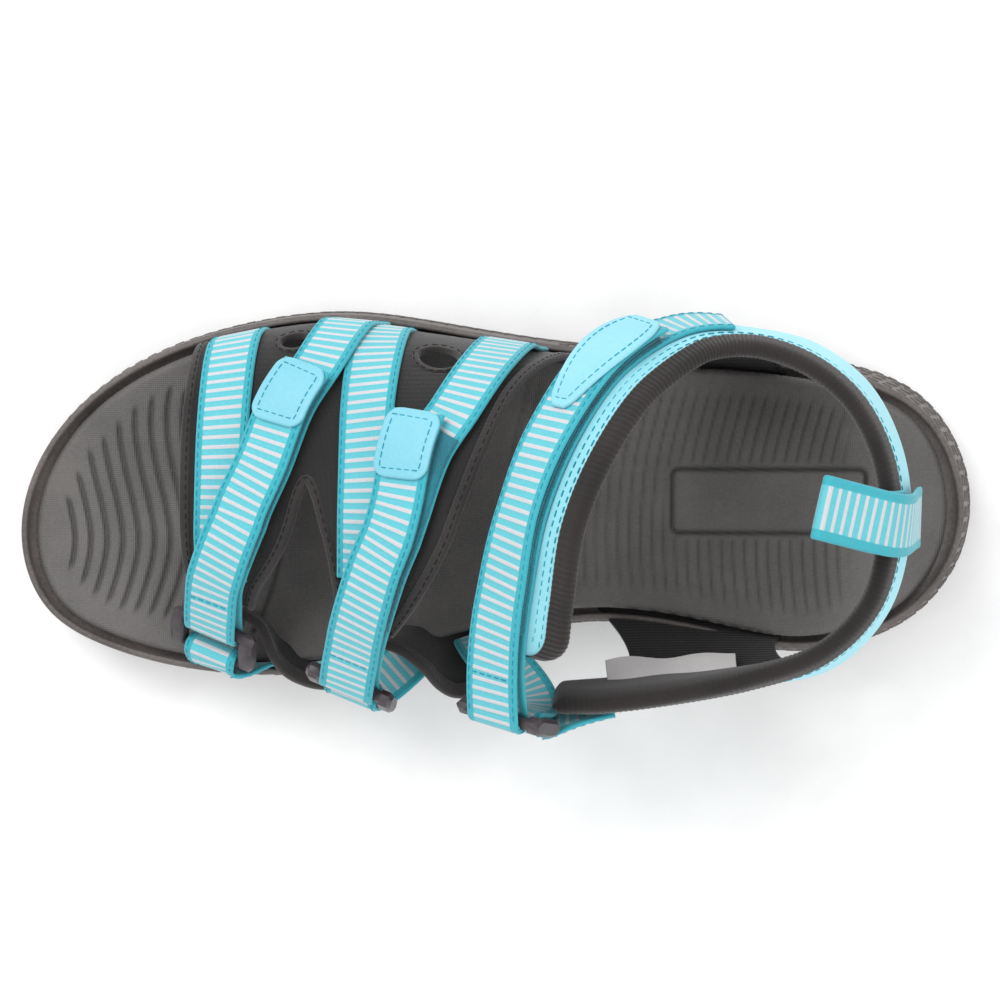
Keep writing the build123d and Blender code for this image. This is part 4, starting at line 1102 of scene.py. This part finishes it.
# The lining's section: down the outer face, over the edge, and down the inner face.
edgeRoll = {"at": 11.2, "tall": 2.3, "deep": 1.9, "gap": 0.35, "inner": 23.6}
section = []
for value in np.linspace(-1, 1, 40):
    if value < -0.62:
        a = collar["liningFrom"] + (value + 1) / 0.38 * 2.6
        b = collar["thick"] * np.sqrt(np.clip(1 - (a / collar["half"])**2.6, 0, 1)) + edgeRoll["gap"]
    elif value < -0.1:
        turn = (value + 0.62) / 0.52 * math.pi
        a = edgeRoll["at"] + edgeRoll["tall"] * math.sin(turn)
        b = edgeRoll["deep"] * math.cos(turn)
    else:
        a = edgeRoll["at"] - (value + 0.1) / 1.1 * edgeRoll["inner"]
        b = -collar["thick"] * np.sqrt(max(0.0, 1 - abs(a / collar["half"])**3.5)) - edgeRoll["gap"]
    section.append((a, b))
smoothed = np.array(section)
for _ in range(3):
    smoothed[1:-1] = (smoothed[:-2] + 2 * smoothed[1:-1] + smoothed[2:]) / 4
tangent = unit(np.gradient(smoothed, axis=0))
facing = np.stack([-tangent[:, 1], tangent[:, 0]], 1)
facing *= np.sign((facing * np.stack([smoothed[:, 0] - 8.0, smoothed[:, 1]], 1)).sum(1))[:, None]
facing = unit(facing)
ribs = collar["ribHeight"] * (0.5 + 0.5 * np.cos(run * 2 * np.pi / collar["ribPitch"]))[:, None] * smooth(
    2.0, 8.0, smoothed[:, 0])[None]
outerA, outerB = [smoothed[None, :, k] + facing[None, :, k] * (0.35 + ribs) for k in (0, 1)]
innerA, innerB = [smoothed[None, :, k] - facing[None, :, k] * 0.3 + 0 * ribs for k in (0, 1)]
front, back = sweep(outerA, outerB, cap * 1.02), sweep(innerA, innerB, cap * 1.02)
collarLining = closedSheet("collar lining", front, back, collarLiningCloth)
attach(collarLining, "root")
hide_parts("collar_lining")
for a, b in ((collar["liningFrom"] - 1.3, 2.62), (collar["liningFrom"] - 3.6, 2.7)):
    line = point + up * (a - corner[:, None] * 0.85) + out * (b + 0.02)
    stitchLine("root", line[12:-14], travel[12:-14], out[12:-14])
print("collar made")

# The two side panels, then the label.
panel = {
    "thickness": 1.3, "waist": 0.16, "drop": 4.0,
    "sides": [("medial", -1, (0.622, 0.788), (0.7, 2.7)), ("lateral", 1, (0.672, 0.795), (10.4, 8.4))],
}


def areaOf(surface):
    lengthwise, crosswise = np.diff(surface, axis=0)[:, :-1], np.diff(surface, axis=1)[:-1]
    return np.linalg.norm(np.cross(lengthwise, crosswise), axis=-1).sum()


def faceWay(surface):
    return unit(np.cross(np.gradient(surface, axis=0), np.gradient(surface, axis=1)))


for name, side, feet, heads in panel["sides"]:
    p, q = np.meshgrid(np.linspace(0, 1, 60), np.linspace(0, 1, 50), indexing="ij")
    pinched = 0.5 + (p - 0.5) * (1 + 0.14 * (1 - q)**3 - panel["waist"] * 4 * q * (1 - q))
    foot = weltPoint(feet[0] + (feet[1] - feet[0]) * pinched, side) - np.array([0, 0, panel["drop"]])
    top, topTravel, topUp, topOut = collarRail(heads[0] + (heads[1] - heads[0]) * pinched)
    head = top - topUp * 9.0
    bulge = (topOut * (4 * q * (1 - q) * 1.2 + 0.25 * np.sin(p * 9) * q * (1 - q))[..., None])
    surface = foot * (1 - q[..., None]) + head * q[..., None] + bulge
    facing = faceWay(surface)
    made = closedSheet(f"{name} quarter", surface + facing * panel["thickness"] / 2,
                       surface - facing * panel["thickness"] / 2, panelCloth)
    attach(made, "root")
    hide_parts(f"quarter_{name}")
    tall = runAlong(surface[30])[-1]
    cells = areaOf(surface)
    broad = max(runAlong(surface[:, 25])[-1], cells / tall)
    for row in (2, -3):
        stitchLine("root", surface[row] + facing[row] * (panel["thickness"] / 2 + 0.05),
                   unit(np.gradient(surface[row], axis=0)), facing[row], thread="black thread")

tag = {"from": 0.55, "to": 1.9, "stand": 4.9, "drop": 8.0, "width": 11.0, "flat": 11.4, "thickness": 0.3}
place, travel, up, out = collarRail(np.linspace(tag["from"], tag["to"], 120))
standing = tag["stand"] + 0.5 * np.sin(runAlong(place) * 0.3)
path = makePath(place - out * standing[:, None] - up * tag["drop"], unit(up * 0.85 + out * 0.35))
tagWidth = tag["width"] + 0.8 * np.sin(path["s"] * 0.22)
label = ribbon("size label", path, tagWidth, tag["thickness"], labelSatin)
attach(label, "root")
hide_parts("size_label")

# Each row: where the cloth comes down on the footbed, then its upper edge.
gussets = {
    "front": [((-71, -31.5, 22.0), (-71.5, -31.0, 37.0)), ((-66, -36.0, 21.8), (-65.5, -35.5, 34.5)),
              ((-62, -40.5, 21.5), (-62.0, -44.5, 31.0)), ((-58, -42.0, 21.5), (-58.0, -49.5, 28.5)),
              ((-53, -43.0, 21.5), (-52.0, -52.3, 27.0)), ((-47, -43.0, 21.5), (-46.0, -53.0, 26.5))],
    "rear": [((-32, -36.5, 23.5), (-32.0, -38.0, 46.0)), ((-24, -36.5, 23.0), (-24.0, -41.0, 42.5)),
             ((-18, -36.0, 23.0), (-18.0, -46.0, 39.0)), ((-13, -35.5, 23.0), (-13.5, -51.5, 35.5)),
             ((-8, -34.5, 23.0), (-9.0, -54.0, 33.0)), ((-2, -32.5, 24.0), (-3.0, -52.3, 32.0)),
             ((4, -31.0, 25.0), (3.0, -49.0, 32.0)), ((9, -30.5, 26.0), (9.0, -45.5, 32.0))],
}
gussetHem = {"cloth": 1.0, "width": 4.2, "thickness": 2.6, "stitch": -0.8}
for name, rows in gussets.items():
    lower, upper = [curve([row[k] for row in rows], 70) for k in (0, 1)]
    q = np.linspace(0, 1, 36)[None, :, None]
    surface = lower[:, None] * (1 - q) + upper[:, None] * q
    surface[..., 2] -= 5.0 * (q * (1 - q) * 4 * (1 - q))[..., 0] * smooth(2, 12, np.linalg.norm(
        upper[:, :2] - lower[:, :2], axis=1))[:, None]
    surface[..., 2] += 0.3 * np.sin(surface[..., 0] * 0.5) * (q * (1 - q) * 4)[..., 0]
    facing = faceWay(surface)
    half = gussetHem["cloth"] / 2
    made = closedSheet(f"{name} gusset", surface + facing * half, surface - facing * half, liningCloth)
    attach(made, "root")
    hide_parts(f"gusset_{name}")
    cells = areaOf(surface)
    tall = runAlong(surface[35])[-1]
    edgePath = makePath(upper, unit(surface[:, -1] - surface[:, -4]), 0.7)
    edging = ribbon(f"{name} gusset hem", edgePath, gussetHem["width"], gussetHem["thickness"], hemCloth)
    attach(edging, "root")
    stitchPath("root", edgePath, gussetHem["stitch"], gussetHem["thickness"] / 2 + 0.02,
               thread="black thread")
print("panels made")

# The heel pull, a loop of webbing that is sewn on outside and inside.
pull = {
    "station": 5.22, "width": 16.6, "length": 20.5, "tip": 1.1, "lean": (-0.86, 0.24, 0.5), "hingeUp": 18.5,
    "outerSewn": (-9.5, 4.2), "innerSewn": (9.0, 3.1), "upper": 1.6, "lower": 1.4,
}
heelPoint, heelTravel, heelUp, heelOut = [row[0] for row in collarRail(np.array([pull["station"]]))]
lean = unit(np.array(pull["lean"]))
pullWide = square(heelTravel, lean)
above = np.cross(pullWide, lean)
above = above * np.sign(above[2])
hinge = heelPoint + heelUp * pull["hingeUp"]
reach = pull["length"] - 1.5
tip = hinge + lean * reach
outerFace, innerFace = [heelPoint + heelUp * pull[key][0] + heelOut * pull[key][1]
                        for key in ("outerSewn", "innerSewn")]
pairs = bend(outerFace, heelUp, hinge + lean * 3 + above * pull["upper"], lean, heelTravel, pullWide, 70)
pairs += [(hinge + lean * d + above * (pull["upper"] - 0.5 * smooth(3, reach, d)), pullWide)
          for d in np.linspace(3.5, reach - 0.5, 40)]
pairs += around(tip, above, lean, pull["tip"], 0, 180, pullWide, 24)
pairs += [(hinge + lean * d - above * (pull["lower"] - 0.3 * smooth(3, reach, d)), pullWide)
          for d in np.linspace(reach - 0.5, 4.0, 40)]
turnDown = hinge + lean * 3.0 - above * pull["lower"]
pairs += bend(turnDown, -lean, innerFace, -heelUp, pullWide, heelTravel, 40)[1:]
path = makePath(*[np.array(rows) for rows in zip(*pairs)])
made = ribbon("heel pull webbing", path, pull["width"], strap["thickness"], webbing, barRelief)
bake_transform(made)
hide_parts("heel_pull", "heel_pull_base")
print("heel pull made")

growRepeated()
for name in ("stitch", "fibre", "wall_block"):
    bpy.data.objects.remove(bpy.data.objects[name])
rubberPart = bpy.data.objects.get("outsole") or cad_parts["outsole"]
rubberPart.data.materials.clear()
rubberPart.data.materials.append(rubber)

# The floor, the light and the camera.
studio = {
    "floor": 2.0, "sky": 0.82, "lens": 80.8, "away": 0.650, "tilts": (4.0, 3.0), "aim": (0.0022, 0.0, 0.020),
    "lamps": [("key", (-0.35, 0.55, 0.8), 0.6, 6.0), ("fill", (0.55, -0.35, 0.7), 0.7, 2.5)],
}
floorMesh = bpy.data.meshes.new("floor")
reach = studio["floor"]
corners = [(x * reach, y * reach, 0) for x, y in ((-1, -1), (1, -1), (1, 1), (-1, 1))]
floorMesh.from_pydata(corners, [], [(0, 1, 2, 3)])
floor = bpy.data.objects.new("floor", floorMesh)
bpy.context.scene.collection.objects.link(floor)
floorMesh.materials.append(cloth("floor", (252, 252, 252), (248, 248, 248), 0.9, 60.0, 0.02))

world = bpy.data.worlds.new("studio")
world.use_nodes = True
world.node_tree.nodes["Background"].inputs["Color"].default_value = (1.0, 1.0, 1.0, 1.0)
world.node_tree.nodes["Background"].inputs["Strength"].default_value = studio["sky"]
bpy.context.scene.world = world
for name, place, size, power in studio["lamps"]:
    lamp = bpy.data.lights.new(name, "AREA")
    lamp.size = size
    lamp.energy = power
    lampObject = bpy.data.objects.new(name, lamp)
    lampObject.location = place
    lampObject.rotation_euler = (Vector(place) * -1).to_track_quat("-Z", "Y").to_euler()
    bpy.context.scene.collection.objects.link(lampObject)

cameraData = bpy.data.cameras.new("camera")
cameraData.lens = studio["lens"]
cameraData.sensor_width = 36.0
cameraData.clip_start = 0.01
camera = bpy.data.objects.new("camera", cameraData)
bpy.context.scene.collection.objects.link(camera)
toward = Vector([math.sin(math.radians(tilt)) for tilt in studio["tilts"]] + [0])
toward.z = math.sqrt(1 - toward.length_squared)
right = Vector((0, 1, 0)).cross(toward).normalized()
upright = toward.cross(right)
turned = Matrix((right, upright, toward)).transposed().to_4x4()
camera.matrix_world = Matrix.Translation(Vector(studio["aim"]) + toward * studio["away"]) @ turned
bpy.context.scene.camera = camera
bpy.context.scene.view_settings.view_transform = "Standard"
